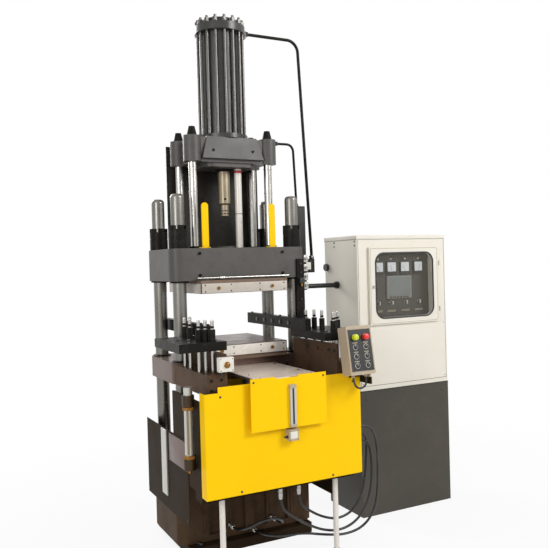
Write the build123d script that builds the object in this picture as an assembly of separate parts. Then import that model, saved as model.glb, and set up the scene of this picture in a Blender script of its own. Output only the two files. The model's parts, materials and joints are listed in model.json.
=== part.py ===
# Vertical rubber injection moulding machine with its control cabinet.
# Millimetres. X to the operator's right, Y to the back, Z up.
# The origin is on the press axis at floor level.

import os
from math import cos, radians, sin, tan

from build123d import *

os.makedirs("parts", exist_ok=True)

# Clearances
SEAT = 0.2                    # round piece in a fixed hole
RUNNING = 1.0                 # sliding round piece in its hole
SIDE_GAP = 10                 # sliding block beside a fixed one
BEND_SHARE = 0.45             # part of a run that its bends may take

# Four tie bars, which carry the press
TIE_SPACING_X = 680
TIE_SPACING_Y = 325
TIE_DIAMETER = 72
TIE_STUB = 166                # bare bar end above its nut
TIE_NUT_HEIGHT = 122
TIE_NUT_DIAMETER = 100
TIE_NUT_SLOT = 15
TIE_NUT_GROOVE = 4
LOBE = 58                     # casting radius around a tie bar

# Heights of the press, piled up from the floor
BASE_HEIGHT = 50
CROSSHEAD_HEIGHT = 330
CLAMP_HEIGHT = 220
RAM_SHOWING = 290
MOVING_PLATEN_HEIGHT = 110
INSULATION = 14
LOWER_HOT_HEIGHT = 66
DAYLIGHT = 275                # open mould space
PLATEN_STROKE = 170
UPPER_HOT_HEIGHT = 55
UPPER_PLATEN_HEIGHT = 171

# Clamp unit
CLAMP_DIAMETER = 370
CLAMP_FLANGE_DIAMETER = 440
CLAMP_FLANGE_HEIGHT = 55
CLAMP_FLOOR = 45
CLAMP_SUNK = 250              # cylinder below the top of the crosshead
RAM_DIAMETER = 300
RAM_DEPTH = 280               # ram inside the cylinder, platen down
BASE_WIDTH = 720
BASE_DEPTH = 566
BASE_CORNER = 20
ANCHOR_HOLE = 22
ANCHOR_SPACING_X = 600
ANCHOR_EDGE = 31              # hole centre to the long edge of the base plate
RIB_PITCH = 130               # upright ribs of the welded crosshead
RIB_WIDTH = 50
RIB_DEPTH = 20
RIB_FLANGE = 30
RIB_COUNT = 5

# Hot plates
UPPER_HOT_WIDTH = 508
LOWER_HOT_WIDTH = 480
HOT_DEPTH = 510

# Bright rail in front of the upper platen
RAIL_ROD_DIAMETER = 9
RAIL_ROD_LENGTH = 540
RAIL_ROD_OUT = 24             # rod axis to the face of the platen
RAIL_ROD_UP = 13              # rod axis above the underside of the platen
RAIL_COLLAR_DIAMETER = 18
RAIL_COLLAR_LENGTH = 26
RAIL_COLLAR_X = -132
RAIL_HOLDER = 16
RAIL_HOLDER_IN = 20           # holder's middle from the end of the rod

# Injection unit
COLUMN_SPACING_X = 453
COLUMN_SPACING_Y = 214
COLUMN_DIAMETER = 45
COLUMN_LENGTH = 470           # platen top to beam bottom
COLUMN_NUT_HEIGHT = 50
COLUMN_NUT_BOTTOM = 58
COLUMN_NUT_TOP = 34
COLUMN_END = 12               # column above the beam, inside its cap nut
BEAM_HEIGHT = 139
BEAM_LOBE = 48.5
BEAM_LIP = 18                 # underside of the beam to the foot of its tapered face
BEAM_BELLY = 22               # body that hangs below the lobes
BEAM_BELLY_HALF_X = 150
BEAM_BELLY_HALF_Y = 118
BEAM_WEB = 22                 # web beyond the column axes
BEAM_BORE = 104
BEAM_FRONT_TOP = 133
BEAM_FRONT_BOTTOM = 152
BEAM_HALF_TOP = 148
BEAM_HALF_BOTTOM = 182
BARREL_DIAMETER = 222
BARREL_BORE = 124
BARREL_HEIGHT = 595
HEAD_DIAMETER = 284
HEAD_HEIGHT = 42
CAP_DIAMETER = 206
CAP_HEIGHT = 32
HEAD_PORT = 14                # port block beyond the head
HEAD_PORT_WIDTH = 32
FOOT_HEIGHT = 24
STUD_COUNT = 16
STUD_DIAMETER = 16
STUD_CIRCLE = 254
STUD_NUT_WIDTH = 24
STUD_NUT_HEIGHT = 24
STUD_END = 12
PLUNGER_DIAMETER = 68
PLUNGER_TIP_DIAMETER = 45
PLUNGER_HEIGHT = 186
PLUNGER_TIP_HEIGHT = 70
PLUNGER_DROP = 28             # coupling that shows under the beam
COUPLING_DIAMETER = 44
PISTON_HEIGHT = 60
PISTON_GAP = 0.3
PLUNGER_STROKE = 230
CHAMBER_DEPTH = 130
COLLAR_DIAMETER = 108
COLLAR_HEIGHT = 14
GAUGE_ROD_DIAMETER = 40
GAUGE_ROD_X = 72
GAUGE_ROD_Y = -34

# Yellow stop bars on the upper platen
STOP_BAR_WIDTH = 37
STOP_BAR_THICKNESS = 8
STOP_BAR_HEIGHT = 242
STOP_BAR_FOOT = 30
STOP_BAR_FOOT_HEIGHT = 6
STOP_BAR_FOOT_EDGE = 8

# Guard behind the columns, cable duct on the right end of the platen, switch bar
REAR_GUARD_EDGE = 59          # guard beyond the column axes
REAR_GUARD_TOP = 20           # below the top of the beam
DUCT_WIDTH = 75
DUCT_FRONT = -90
DUCT_BACK = -20
DUCT_BELOW = 80               # below the underside of the platen
DUCT_ABOVE = 240              # above the top of the platen
MANIFOLD_WIDTH = 175
MANIFOLD_FRONT = -15
MANIFOLD_BACK = 65
MANIFOLD_UP = 20
MANIFOLD_HEIGHT = 80
SWITCH_BAR_X = 353
SWITCH_BAR_WIDTH = 45
SWITCH_BAR_THICKNESS = 12
SWITCH_BAR_TOP = 102          # above the underside of the platen

# Mould lift on each side of the mould
LIFT_BASE_INNER = 300
LIFT_BASE_OUTER = 402
LIFT_BASE_FRONT = 672
LIFT_BASE_BOTTOM = 8          # above the underside of the moving platen
LIFT_BASE_HEIGHT = 100
SIDE_WALL = 14                # wall beside the mould's way out
SIDE_WALL_HEIGHT = 190
LIFT_INNER = 272
LIFT_OUTER = 510
LIFT_FRONT = 612
LIFT_REAR = 246
LIFT_OVER_WALL = 12           # lift plate above the side wall, at rest
LIFT_PLATE_HEIGHT = 42
RAIL_INNER = 262
RAIL_WIDTH = 34
RAIL_HEIGHT = 62
RAIL_FRONT = 430
RAIL_BACK = 296
PIN_DIAMETER = 17
PIN_RISE = 98
PIN_FOOT = 6
BUSH_DIAMETER = 30
BUSH_HEIGHT = 58
PIN_PLACES = [(336, 590), (362, 566), (388, 548), (379, 406), (378, 326), (340, 300)]

# Front guard
COVER_FRONT = 690
COVER_WIDTH = 850
COVER_BOTTOM = 428
COVER_SIDE_TOP = 915
COVER_TOP = 942
COVER_STEP = 68               # lower shoulder at each end of the top edge
COVER_RETURN = 60
SHEET = 3
INDICATOR_WIDTH = 410
INDICATOR_BOTTOM = 716
INDICATOR_TOP = 967
INDICATOR_GAP = 26            # between the guard and the sliding plate
NOTCH_LEFT = -75
NOTCH_WIDTH = 124
NOTCH_DEPTH = 9
ARM_WIDTH = 70
ARM_THICKNESS = 9
ARM_X = 138
LEG_X = 315
LEG_Y = 600
LEG_DIAMETER = 28
LEG_PAD_DIAMETER = 80
LEG_PAD_HEIGHT = 12
FRAME_RAISE = 10              # side rails above the lower edge of the guard
SIDE_RAIL_HEIGHT = 40
CROSS_BAR = 38
SIDE_PLATE = 12
SIDE_PLATE_REAR = 234
SIDE_PLATE_TOP = 868
LOWER_BAR_DROP = 33           # lower bar's underside below the edge of the guard
LOWER_BAR_HEIGHT = 40
LOWER_BAR_FRONT = 620
LOWER_BAR_BACK = 535
SIDE_PANEL = 3
SIDE_PANEL_FRONT = 450
SIDE_PANEL_BACK = 212
SIDE_PANEL_BOTTOM = 230
SIDE_PANEL_TOP = 650

# Scale on the sliding plate and its reading head
SCALE_LEFT = -3
SCALE_WIDTH = 32
SCALE_THICKNESS = 14
SCALE_BOTTOM = 5              # above the lower edge of the plate
SCALE_TOP = 45                # below its upper edge
READER_LEFT = -12
READER_WIDTH = 50
READER_HEIGHT = 54
READER_DROP = 8

# Level tube on the left side plate
LEVEL_DIAMETER = 42
LEVEL_BOTTOM = 560
LEVEL_TOP = 935
LEVEL_LOWER_END = 548
LEVEL_UPPER_END = 846
LEVEL_CLAMP_HEIGHT = 22
LEVEL_END_HEIGHT = 52         # brass piece at each end
LEVEL_CLAMP_WALL = 8
LEVEL_OUT = 30                # tube axis beyond the side of the guard
LEVEL_Y = -560

# Control cabinet
CABINET_LEFT = 713
CABINET_WIDTH = 659
CABINET_FRONT = 263
CABINET_DEPTH = 359
CABINET_HEIGHT = 1654
CABINET_BASE = 741
DOOR_LEFT = 789
DOOR_RIGHT = 1300
DOOR_BOTTOM = 1124
DOOR_TOP = 1582
DOOR_THICKNESS = 16
DOOR_GAP = 0.3
HINGE_DIAMETER = 10
HINGE_PIN = 5
HINGE_KNUCKLE = 28
WINDOW_LEFT = 838
WINDOW_RIGHT = 1254
WINDOW_BOTTOM = 1167
WINDOW_TOP = 1543
WINDOW_CORNER = 52
NICHE_DEPTH = 58
NICHE_MARGIN = 22

# Pendant in front of the guard's right edge, its bracket and the spare loop of its cable
PENDANT_X = 376
PENDANT_Y = -738
PENDANT_WIDTH = 146
PENDANT_HEIGHT = 242
PENDANT_DEPTH = 76
PENDANT_TOP = 1178
PENDANT_TILT = 10
PENDANT_CORNER = 8
PENDANT_PANEL = 3
PENDANT_PANEL_EDGE = 8
PENDANT_PANEL_ENDS = 18
GLAND_DIAMETER = 18
GLAND_LENGTH = 12
GLAND_SUNK = 4                # gland inside the box
BRACKET_PLATE = 10
BRACKET_FRONT = -780
BRACKET_BACK = -560
BRACKET_FOOT_FRONT = -620
BRACKET_LOW = 820
BRACKET_STRAP = 890
BRACKET_TOP = 925
LUG_FRONT = -770
LUG_BACK = -728
LUG_HEIGHT = 25
CABLE_DIAMETER = 10
CABLE_LOOP_WIDTH = 76

# Steel pipes of the injection cylinder
PRESSURE_PIPE_DIAMETER = 18
PIPE_BELOW_TOP = 13           # pipe axis below the top of the head
PIPE_CORNER_X = 500
PIPE_FOOT_X = 562
PIPE_FOOT = 40                # upright end above the manifold or the duct
PIPE_BEND = 70
PIPE_SOFT_BEND = 400
FEED_PIPE_DIAMETER = 14
FEED_PIPE_OUT = 118           # beyond the lobe, before it turns down
FEED_PIPE_DROP = 16           # pipe axis below the top of the beam
FEED_BEND = 45
FEED_SOFT_BEND = 150

# Conduit between the duct and the cabinet
CONDUIT_DIAMETER = 26
CONDUIT_Y = -50
CONDUIT_Z = 1363
CONDUIT_GLAND = 44
CONDUIT_GLAND_LENGTH = 16
SPARE_GLAND_Y = 68
SPARE_GLAND_Z = 1470

# Hydraulic hoses: diameter, fittings, and each route by hand
HOSE_DIAMETER = 13
FITTING_DIAMETER = 22
BAR_FITTING = 40              # under the lower bar
SIDE_FITTING = 30             # on the right side plate
CROSSHEAD_FITTING = 42

# Worked out from the sizes above
TIE_X = TIE_SPACING_X / 2
TIE_Y = TIE_SPACING_Y / 2
TIE_R = TIE_DIAMETER / 2
HALF_X = TIE_X + LOBE
HALF_Y = TIE_Y + LOBE
COL_X = COLUMN_SPACING_X / 2
COL_Y = COLUMN_SPACING_Y / 2

crosshead_z = BASE_HEIGHT
clamp_z = crosshead_z + CROSSHEAD_HEIGHT
clamp_top = clamp_z + CLAMP_HEIGHT
moving_z = clamp_top + RAM_SHOWING
moving_top = moving_z + MOVING_PLATEN_HEIGHT
lower_hot_z = moving_top + INSULATION
lower_hot_top = lower_hot_z + LOWER_HOT_HEIGHT
upper_hot_z = lower_hot_top + DAYLIGHT
upper_hot_top = upper_hot_z + UPPER_HOT_HEIGHT
platen_z = upper_hot_top + INSULATION
platen_top = platen_z + UPPER_PLATEN_HEIGHT
tie_top = platen_top + TIE_NUT_HEIGHT + TIE_STUB
beam_z = platen_top + COLUMN_LENGTH
beam_top = beam_z + BEAM_HEIGHT
head_z = beam_top + BARREL_HEIGHT
head_top = head_z + HEAD_HEIGHT

TIE_POINTS = [(x, y) for x in (-TIE_X, TIE_X) for y in (-TIE_Y, TIE_Y)]
COLUMN_POINTS = [(x, y) for x in (-COL_X, COL_X) for y in (-COL_Y, COL_Y)]


def block(x0, x1, y0, y1, z0, z1):
    """Plain block between two corners."""
    size = Box(x1 - x0, y1 - y0, z1 - z0)
    return Pos((x0 + x1) / 2, (y0 + y1) / 2, (z0 + z1) / 2) * size


def bar(x, y, z0, z1, diameter):
    """Upright round bar."""
    return Pos(x, y, (z0 + z1) / 2) * Cylinder(diameter / 2, z1 - z0)


def ring(x, y, z0, z1, outer, inner):
    """Upright tube."""
    return bar(x, y, z0, z1, outer) - bar(x, y, z0, z1, inner)


def along_x(x0, x1, y, z, diameter):
    """Level round bar from left to right."""
    return Pos((x0 + x1) / 2, y, z) * Rot(0, 90, 0) * Cylinder(diameter / 2, x1 - x0)


def along_y(x, y0, y1, z, diameter):
    """Level round bar from front to back."""
    return Pos(x, (y0 + y1) / 2, z) * Rot(90, 0, 0) * Cylinder(diameter / 2, y1 - y0)


def rounded(half_x, half_y, z0, z1, radius):
    """Plate with round upright corners."""
    outline = RectangleRounded(2 * half_x, 2 * half_y, radius)
    return Pos(0, 0, z0) * extrude(outline, z1 - z0)


def hexagon(x, y, z0, z1, across):
    """Upright hexagon nut."""
    return Pos(x, y, z0) * extrude(RegularPolygon(across / 2, 6, major_radius=False), z1 - z0)


def save(name, *solids):
    """Write one sub-part."""
    whole = solids[0] if len(solids) == 1 else Compound(children=list(solids))
    whole.label = name
    export_step(whole, f"parts/{name}.step")


# Base and lower crosshead

def base_plate():
    half_x = BASE_WIDTH / 2
    half_y = BASE_DEPTH / 2
    plate = rounded(half_x, half_y, 0, BASE_HEIGHT, BASE_CORNER)
    for x in (-ANCHOR_SPACING_X / 2, ANCHOR_SPACING_X / 2):
        for y in (-half_y + ANCHOR_EDGE, half_y - ANCHOR_EDGE):
            plate -= bar(x, y, 0, BASE_HEIGHT, ANCHOR_HOLE)
    return plate


def lower_crosshead():
    """Welded block with upright ribs on its front and back, bored for the clamp cylinder."""
    body = rounded(HALF_X, HALF_Y, crosshead_z, clamp_z, LOBE)
    pocket = (RIB_PITCH - RIB_WIDTH) / 2
    for i in range(RIB_COUNT - 1):
        x = RIB_PITCH * (i - (RIB_COUNT - 2) / 2)
        for face in (-HALF_Y, HALF_Y - RIB_DEPTH):
            body -= block(x - pocket, x + pocket, face, face + RIB_DEPTH,
                          crosshead_z + RIB_FLANGE, clamp_z - RIB_FLANGE)
    for x, y in TIE_POINTS:
        body -= bar(x, y, crosshead_z, clamp_z, TIE_DIAMETER + 2 * SEAT)
    return body - bar(0, 0, clamp_z - CLAMP_SUNK, clamp_z, CLAMP_DIAMETER + 2 * SEAT)


def clamp_cylinder():
    """Cylinder sunk in the crosshead, with a flange that rests on it and one at its mouth."""
    bottom = clamp_z - CLAMP_SUNK
    body = bar(0, 0, bottom, clamp_top, CLAMP_DIAMETER)
    body += bar(0, 0, clamp_top - CLAMP_FLANGE_HEIGHT, clamp_top, CLAMP_FLANGE_DIAMETER)
    body += bar(0, 0, clamp_z, clamp_z + CLAMP_FLANGE_HEIGHT / 2, CLAMP_FLANGE_DIAMETER)
    body -= bar(0, 0, bottom + CLAMP_FLOOR, clamp_top, RAM_DIAMETER + 2 * RUNNING)
    return body


def tie_bar(x, y):
    whole = bar(x, y, crosshead_z, tie_top, TIE_DIAMETER)
    top = whole.edges().group_by(Axis.Z)[-1]
    return fillet(top, TIE_DIAMETER / 3.5)


def tie_nut(x, y):
    """Castellated nut: a plain collar below, a slotted crown above."""
    nut_top = platen_top + TIE_NUT_HEIGHT
    middle = platen_top + TIE_NUT_HEIGHT / 2
    crown = TIE_NUT_HEIGHT / 6
    nut = bar(x, y, platen_top, nut_top, TIE_NUT_DIAMETER)
    groove = TIE_NUT_DIAMETER - TIE_NUT_GROOVE
    nut -= ring(x, y, middle, middle + TIE_NUT_GROOVE, TIE_NUT_DIAMETER + TIE_NUT_GROOVE, groove)
    for turn in range(3):
        slot = Box(1.2 * TIE_NUT_DIAMETER, TIE_NUT_SLOT, crown)
        nut -= Pos(x, y, nut_top - crown / 2) * Rot(0, 0, 60 * turn) * slot
    return nut - bar(x, y, platen_top, nut_top, TIE_DIAMETER + 2 * SEAT)


# Upper platen and the hot plates

def upper_platen():
    """Platen with the injection chamber and the raised collar around its mouth."""
    body = rounded(HALF_X, HALF_Y, platen_z, platen_top, LOBE)
    body += bar(0, 0, platen_top, platen_top + COLLAR_HEIGHT, COLLAR_DIAMETER)
    for x, y in TIE_POINTS:
        body -= bar(x, y, platen_z, platen_top, TIE_DIAMETER + 2 * SEAT)
    chamber = PLUNGER_TIP_DIAMETER + 2 * RUNNING
    return body - bar(0, 0, platen_top - CHAMBER_DEPTH, platen_top + COLLAR_HEIGHT, chamber)


def hot_plate(width, z0, z1):
    half_x = width / 2
    half_y = HOT_DEPTH / 2
    return block(-half_x, half_x, -half_y, half_y, z0, z1)


def front_rail():
    """Bright round rail along the lower front edge of the upper platen."""
    y = -HALF_Y - RAIL_ROD_OUT
    z = platen_z + RAIL_ROD_UP
    end = RAIL_ROD_LENGTH / 2
    collar_half = RAIL_COLLAR_LENGTH / 2
    holder_half = RAIL_HOLDER / 2
    rod_half = RAIL_ROD_DIAMETER / 2
    rail = along_x(-end, end, y, z, RAIL_ROD_DIAMETER)
    rail += along_x(RAIL_COLLAR_X - collar_half, RAIL_COLLAR_X + collar_half, y, z, RAIL_COLLAR_DIAMETER)
    for x in (-end + RAIL_HOLDER_IN, end - RAIL_HOLDER_IN):
        rail += block(x - holder_half, x + holder_half, y, -HALF_Y, z - rod_half, z + rod_half)
    return rail


# Injection unit

def column(x, y):
    return bar(x, y, platen_top, beam_top + COLUMN_END, COLUMN_DIAMETER)


def column_nut(x, y):
    """Tapered cap nut, closed above the end of its column."""
    nut = Pos(x, y, beam_top + COLUMN_NUT_HEIGHT / 2)
    nut *= Cone(COLUMN_NUT_BOTTOM / 2, COLUMN_NUT_TOP / 2, COLUMN_NUT_HEIGHT)
    return nut - bar(x, y, beam_top, beam_top + COLUMN_END, COLUMN_DIAMETER + 2 * SEAT)


def upper_beam():
    """Casting: four lobes and their web, a tapered block between them, and a belly below."""
    foot = beam_z + BEAM_LIP
    low = Pos(0, 0, foot) * Rectangle(2 * BEAM_HALF_BOTTOM, 2 * BEAM_FRONT_BOTTOM)
    high = Pos(0, 0, beam_top) * Rectangle(2 * BEAM_HALF_TOP, 2 * BEAM_FRONT_TOP)
    body = loft([low, high])
    web_y = COL_Y + BEAM_WEB
    body += block(-COL_X, COL_X, -web_y, web_y, beam_z, beam_top - BEAM_LIP / 3)
    body += rounded(BEAM_BELLY_HALF_X, BEAM_BELLY_HALF_Y, beam_z - BEAM_BELLY, foot, BEAM_LOBE)
    for x, y in COLUMN_POINTS:
        body += bar(x, y, beam_z, beam_top, 2 * BEAM_LOBE)
    for x, y in COLUMN_POINTS:
        body -= bar(x, y, beam_z, beam_top, COLUMN_DIAMETER + 2 * SEAT)
    return body - bar(0, 0, beam_z - BEAM_BELLY, beam_top, BEAM_BORE)


def cylinder_barrel():
    body = ring(0, 0, beam_top, head_z, BARREL_DIAMETER, BARREL_BORE)
    body += ring(0, 0, beam_top, beam_top + FOOT_HEIGHT, HEAD_DIAMETER, BARREL_BORE)
    for x, y in stud_points():
        body -= bar(x, y, beam_top, beam_top + FOOT_HEIGHT, STUD_DIAMETER + 2 * SEAT)
    return body


def stud_points():
    angles = [radians(360 * (i + 0.5) / STUD_COUNT) for i in range(STUD_COUNT)]
    return [(STUD_CIRCLE / 2 * cos(a), STUD_CIRCLE / 2 * sin(a)) for a in angles]


def cylinder_head():
    """Round head with a raised cap inside the ring of studs and the port of the pressure pipe."""
    body = bar(0, 0, head_z, head_top, HEAD_DIAMETER)
    body += bar(0, 0, head_top, head_top + CAP_HEIGHT, CAP_DIAMETER)
    half = HEAD_PORT_WIDTH / 2
    body += block(HEAD_DIAMETER / 2 - HEAD_PORT, HEAD_DIAMETER / 2 + HEAD_PORT, -half, half, head_z, head_top)
    for x, y in stud_points():
        body -= bar(x, y, head_z, head_top, STUD_DIAMETER + 2 * SEAT)
    return body


def cylinder_stud(x, y):
    nut_top = head_top + STUD_NUT_HEIGHT
    stud = bar(x, y, beam_top, nut_top + STUD_END, STUD_DIAMETER)
    return stud + hexagon(x, y, head_top, nut_top, STUD_NUT_WIDTH)


def plunger():
    """Piston and rod in the cylinder, coupling, then the stepped plunger."""
    shoulder = beam_z - PLUNGER_DROP
    step = shoulder - PLUNGER_HEIGHT
    tip = step - PLUNGER_TIP_HEIGHT
    rod_top = beam_top + PLUNGER_STROKE + SIDE_GAP + PISTON_HEIGHT
    body = bar(0, 0, shoulder, rod_top, COUPLING_DIAMETER)
    body += bar(0, 0, rod_top - PISTON_HEIGHT, rod_top, BARREL_BORE - 2 * PISTON_GAP)
    body += bar(0, 0, step, shoulder, PLUNGER_DIAMETER)
    body += bar(0, 0, tip, step, PLUNGER_TIP_DIAMETER)
    return body


def gauge_rod():
    return bar(GAUGE_ROD_X, GAUGE_ROD_Y, platen_top, beam_z - BEAM_BELLY, GAUGE_ROD_DIAMETER)


def stop_bar(side):
    """Flat yellow bar with a round top, standing on a small foot."""
    x = side * HALF_X / 2
    y = -HALF_Y + STOP_BAR_FOOT - STOP_BAR_THICKNESS
    half = STOP_BAR_WIDTH / 2
    tall = block(x - half, x + half, y, y + STOP_BAR_THICKNESS, platen_top, platen_top + STOP_BAR_HEIGHT)
    top_edges = tall.edges().filter_by(Axis.Y).group_by(Axis.Z)[-1]
    tall = fillet(top_edges, half - 1)
    edge = half + STOP_BAR_FOOT_EDGE
    foot = block(x - edge, x + edge, y, y + STOP_BAR_FOOT, platen_top, platen_top + STOP_BAR_FOOT_HEIGHT)
    return tall + foot


def rear_guard():
    y = COL_Y + BEAM_LOBE + SEAT
    half = COL_X + REAR_GUARD_EDGE
    return block(-half, half, y, y + SHEET, platen_top, beam_top - REAR_GUARD_TOP)


def side_duct():
    """Upright cable duct on the right end of the upper platen, with the oil manifold behind it."""
    duct = block(HALF_X, HALF_X + DUCT_WIDTH, DUCT_FRONT, DUCT_BACK,
                 platen_z - DUCT_BELOW, platen_top + DUCT_ABOVE)
    low = platen_z + MANIFOLD_UP
    duct += block(HALF_X, HALF_X + DUCT_WIDTH, DUCT_BACK, MANIFOLD_FRONT, low, low + MANIFOLD_HEIGHT)
    duct += block(HALF_X, HALF_X + MANIFOLD_WIDTH, MANIFOLD_FRONT, MANIFOLD_BACK,
                  low, low + MANIFOLD_HEIGHT)
    return duct


def switch_bar():
    """Flat black bar that hangs from the front of the upper platen, clear of the moving platen."""
    half = SWITCH_BAR_WIDTH / 2
    return block(SWITCH_BAR_X - half, SWITCH_BAR_X + half, -HALF_Y - SWITCH_BAR_THICKNESS, -HALF_Y,
                 moving_top + PLATEN_STROKE + SIDE_GAP, platen_z + SWITCH_BAR_TOP)


# Moving platen and mould lift

def moving_platen():
    body = rounded(HALF_X, HALF_Y, moving_z, moving_top, LOBE)
    for x, y in TIE_POINTS:
        body -= bar(x, y, moving_z, moving_top, TIE_DIAMETER + 2 * RUNNING)
    return body


def clamp_ram():
    return bar(0, 0, clamp_top - RAM_DEPTH, moving_z, RAM_DIAMETER)


def lift_pin_points(side):
    return [(side * x, -y) for x, y in PIN_PLACES]


def lift_block(side, x_in, x_out, y_front, y_back, z0, z1):
    """Block on the left or right side, given by its distances from the press axis."""
    xs = sorted((side * x_in, side * x_out))
    return block(xs[0], xs[1], y_front, y_back, z0, z1)


lift_base_z = moving_z + LIFT_BASE_BOTTOM
lift_base_top = lift_base_z + LIFT_BASE_HEIGHT
lift_plate_z = lift_base_z + SIDE_WALL_HEIGHT + LIFT_OVER_WALL
lift_plate_top = lift_plate_z + LIFT_PLATE_HEIGHT


def lift_base(side):
    """Block on the front of the moving platen, with a wall beside the mould and bores for the pins."""
    body = lift_block(side, LIFT_BASE_INNER, LIFT_BASE_OUTER, -LIFT_BASE_FRONT, -HALF_Y,
                      lift_base_z, lift_base_top)
    body += lift_block(side, LIFT_BASE_INNER, LIFT_BASE_INNER + SIDE_WALL, -LIFT_BASE_FRONT, -HALF_Y,
                       lift_base_z, lift_base_z + SIDE_WALL_HEIGHT)
    for x, y in lift_pin_points(side):
        body -= bar(x, y, lift_base_z, lift_base_top, PIN_DIAMETER + 2 * RUNNING)
    return body


def lift_plate(side):
    """Lift plate with a bush around each pin."""
    body = lift_block(side, LIFT_INNER, LIFT_OUTER, -LIFT_FRONT, -LIFT_REAR, lift_plate_z, lift_plate_top)
    for x, y in lift_pin_points(side):
        body += bar(x, y, lift_plate_z, lift_plate_top + BUSH_HEIGHT, BUSH_DIAMETER)
    for x, y in lift_pin_points(side):
        body -= bar(x, y, lift_plate_z, lift_plate_top + BUSH_HEIGHT, PIN_DIAMETER + 2 * SEAT)
    return body


def lift_rail(side):
    """Bar on the lift plate that reaches back along the mould and lifts it."""
    return lift_block(side, RAIL_INNER, RAIL_INNER + RAIL_WIDTH, -RAIL_FRONT, RAIL_BACK,
                      lift_plate_top, lift_plate_top + RAIL_HEIGHT)


def lift_pin(x, y):
    """Guide pin: slides in the base, seated in the lift plate."""
    return bar(x, y, lift_base_z + PIN_FOOT, lift_plate_top + PIN_RISE, PIN_DIAMETER)


# Front guard, its frame and the plate that shows the mould height

def cover_outline():
    half = COVER_WIDTH / 2
    return Polyline(
        (-half, COVER_BOTTOM), (half, COVER_BOTTOM), (half, COVER_SIDE_TOP),
        (half - COVER_STEP, COVER_SIDE_TOP), (half - COVER_STEP, COVER_TOP),
        (-half + COVER_STEP, COVER_TOP), (-half + COVER_STEP, COVER_SIDE_TOP),
        (-half, COVER_SIDE_TOP), close=True)


def front_cover():
    """Yellow sheet with a return flange at each side."""
    half = COVER_WIDTH / 2
    face = Plane.XZ * make_face(cover_outline())
    sheet = Pos(0, -COVER_FRONT + SHEET, 0) * extrude(face, SHEET)
    for side in (-1, 1):
        xs = sorted((side * half, side * (half - SHEET)))
        sheet += block(xs[0], xs[1], -COVER_FRONT, -COVER_FRONT + COVER_RETURN,
                       COVER_BOTTOM, COVER_SIDE_TOP)
    corners = sheet.edges().filter_by(Axis.Z).group_by(Axis.Y)[0]
    corners = corners.filter_by(lambda e: abs(abs(e.center().X) - half) < 0.01)
    return fillet(corners, SHEET - 0.5)


def front_frame():
    """Side rails held on the tie bars, side plates, and two cross bars behind the guard."""
    half = COVER_WIDTH / 2 - SHEET
    front = -COVER_FRONT + SHEET
    rail_z = COVER_BOTTOM + FRAME_RAISE
    rail_top = rail_z + SIDE_RAIL_HEIGHT
    lower_z = COVER_BOTTOM - LOWER_BAR_DROP
    body = block(-half, half, front, front + CROSS_BAR, rail_z, rail_top)
    body += block(-half, half, -LOWER_BAR_FRONT, -LOWER_BAR_BACK, lower_z, lower_z + LOWER_BAR_HEIGHT)
    for side in (-1, 1):
        body += lift_block(side, TIE_X + TIE_R + SEAT, half, front, HALF_Y, rail_z, rail_top)
        body += lift_block(side, half - SIDE_PLATE, half, front, -SIDE_PLATE_REAR, rail_z, SIDE_PLATE_TOP)
        body += lift_block(side, half - SIDE_PLATE, half, -LOWER_BAR_FRONT, -LOWER_BAR_BACK,
                           lower_z, rail_top)
    return body


def side_panel(side):
    """Sheet that closes the side of the press below the guard's side plate."""
    inner = COVER_WIDTH / 2 - SHEET
    return lift_block(side, inner, inner + SIDE_PANEL, -SIDE_PANEL_FRONT, SIDE_PANEL_BACK,
                      SIDE_PANEL_BOTTOM, SIDE_PANEL_TOP)


def front_leg(side):
    leg = bar(side * LEG_X, -LEG_Y, LEG_PAD_HEIGHT, COVER_BOTTOM - LOWER_BAR_DROP, LEG_DIAMETER)
    return leg + bar(side * LEG_X, -LEG_Y, 0, LEG_PAD_HEIGHT, LEG_PAD_DIAMETER)


def indicator_plate():
    """Sliding yellow plate in front of the guard, with a notch in its top edge."""
    y = -COVER_FRONT - INDICATOR_GAP
    half = INDICATOR_WIDTH / 2
    plate = block(-half, half, y - SHEET, y, INDICATOR_BOTTOM, INDICATOR_TOP)
    notch_z = INDICATOR_TOP - NOTCH_DEPTH
    return plate - block(NOTCH_LEFT, NOTCH_LEFT + NOTCH_WIDTH, y - SHEET, y, notch_z, INDICATOR_TOP)


def indicator_arm(side):
    """Flat arm from the moving platen, over the guard, to the sliding plate."""
    y = -COVER_FRONT - INDICATOR_GAP
    x = side * ARM_X
    top = INDICATOR_TOP - NOTCH_DEPTH
    return block(x - ARM_WIDTH / 2, x + ARM_WIDTH / 2, y, -HALF_Y, top - ARM_THICKNESS, top)


def linear_scale():
    """Scale strip on the sliding plate."""
    y = -COVER_FRONT - INDICATOR_GAP - SHEET
    return block(SCALE_LEFT, SCALE_LEFT + SCALE_WIDTH, y - SCALE_THICKNESS, y,
                 INDICATOR_BOTTOM + SCALE_BOTTOM, INDICATOR_TOP - SCALE_TOP)


def scale_reader():
    """Reading head fixed to the guard, just below the scale."""
    y = -COVER_FRONT
    top = INDICATOR_BOTTOM - READER_DROP
    return block(READER_LEFT, READER_LEFT + READER_WIDTH, y - INDICATOR_GAP - SCALE_THICKNESS, y,
                 top - READER_HEIGHT, top)


LEVEL_X = -COVER_WIDTH / 2 - LEVEL_OUT


def level_tube():
    return bar(LEVEL_X, LEVEL_Y, LEVEL_BOTTOM, LEVEL_TOP, LEVEL_DIAMETER)


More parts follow.
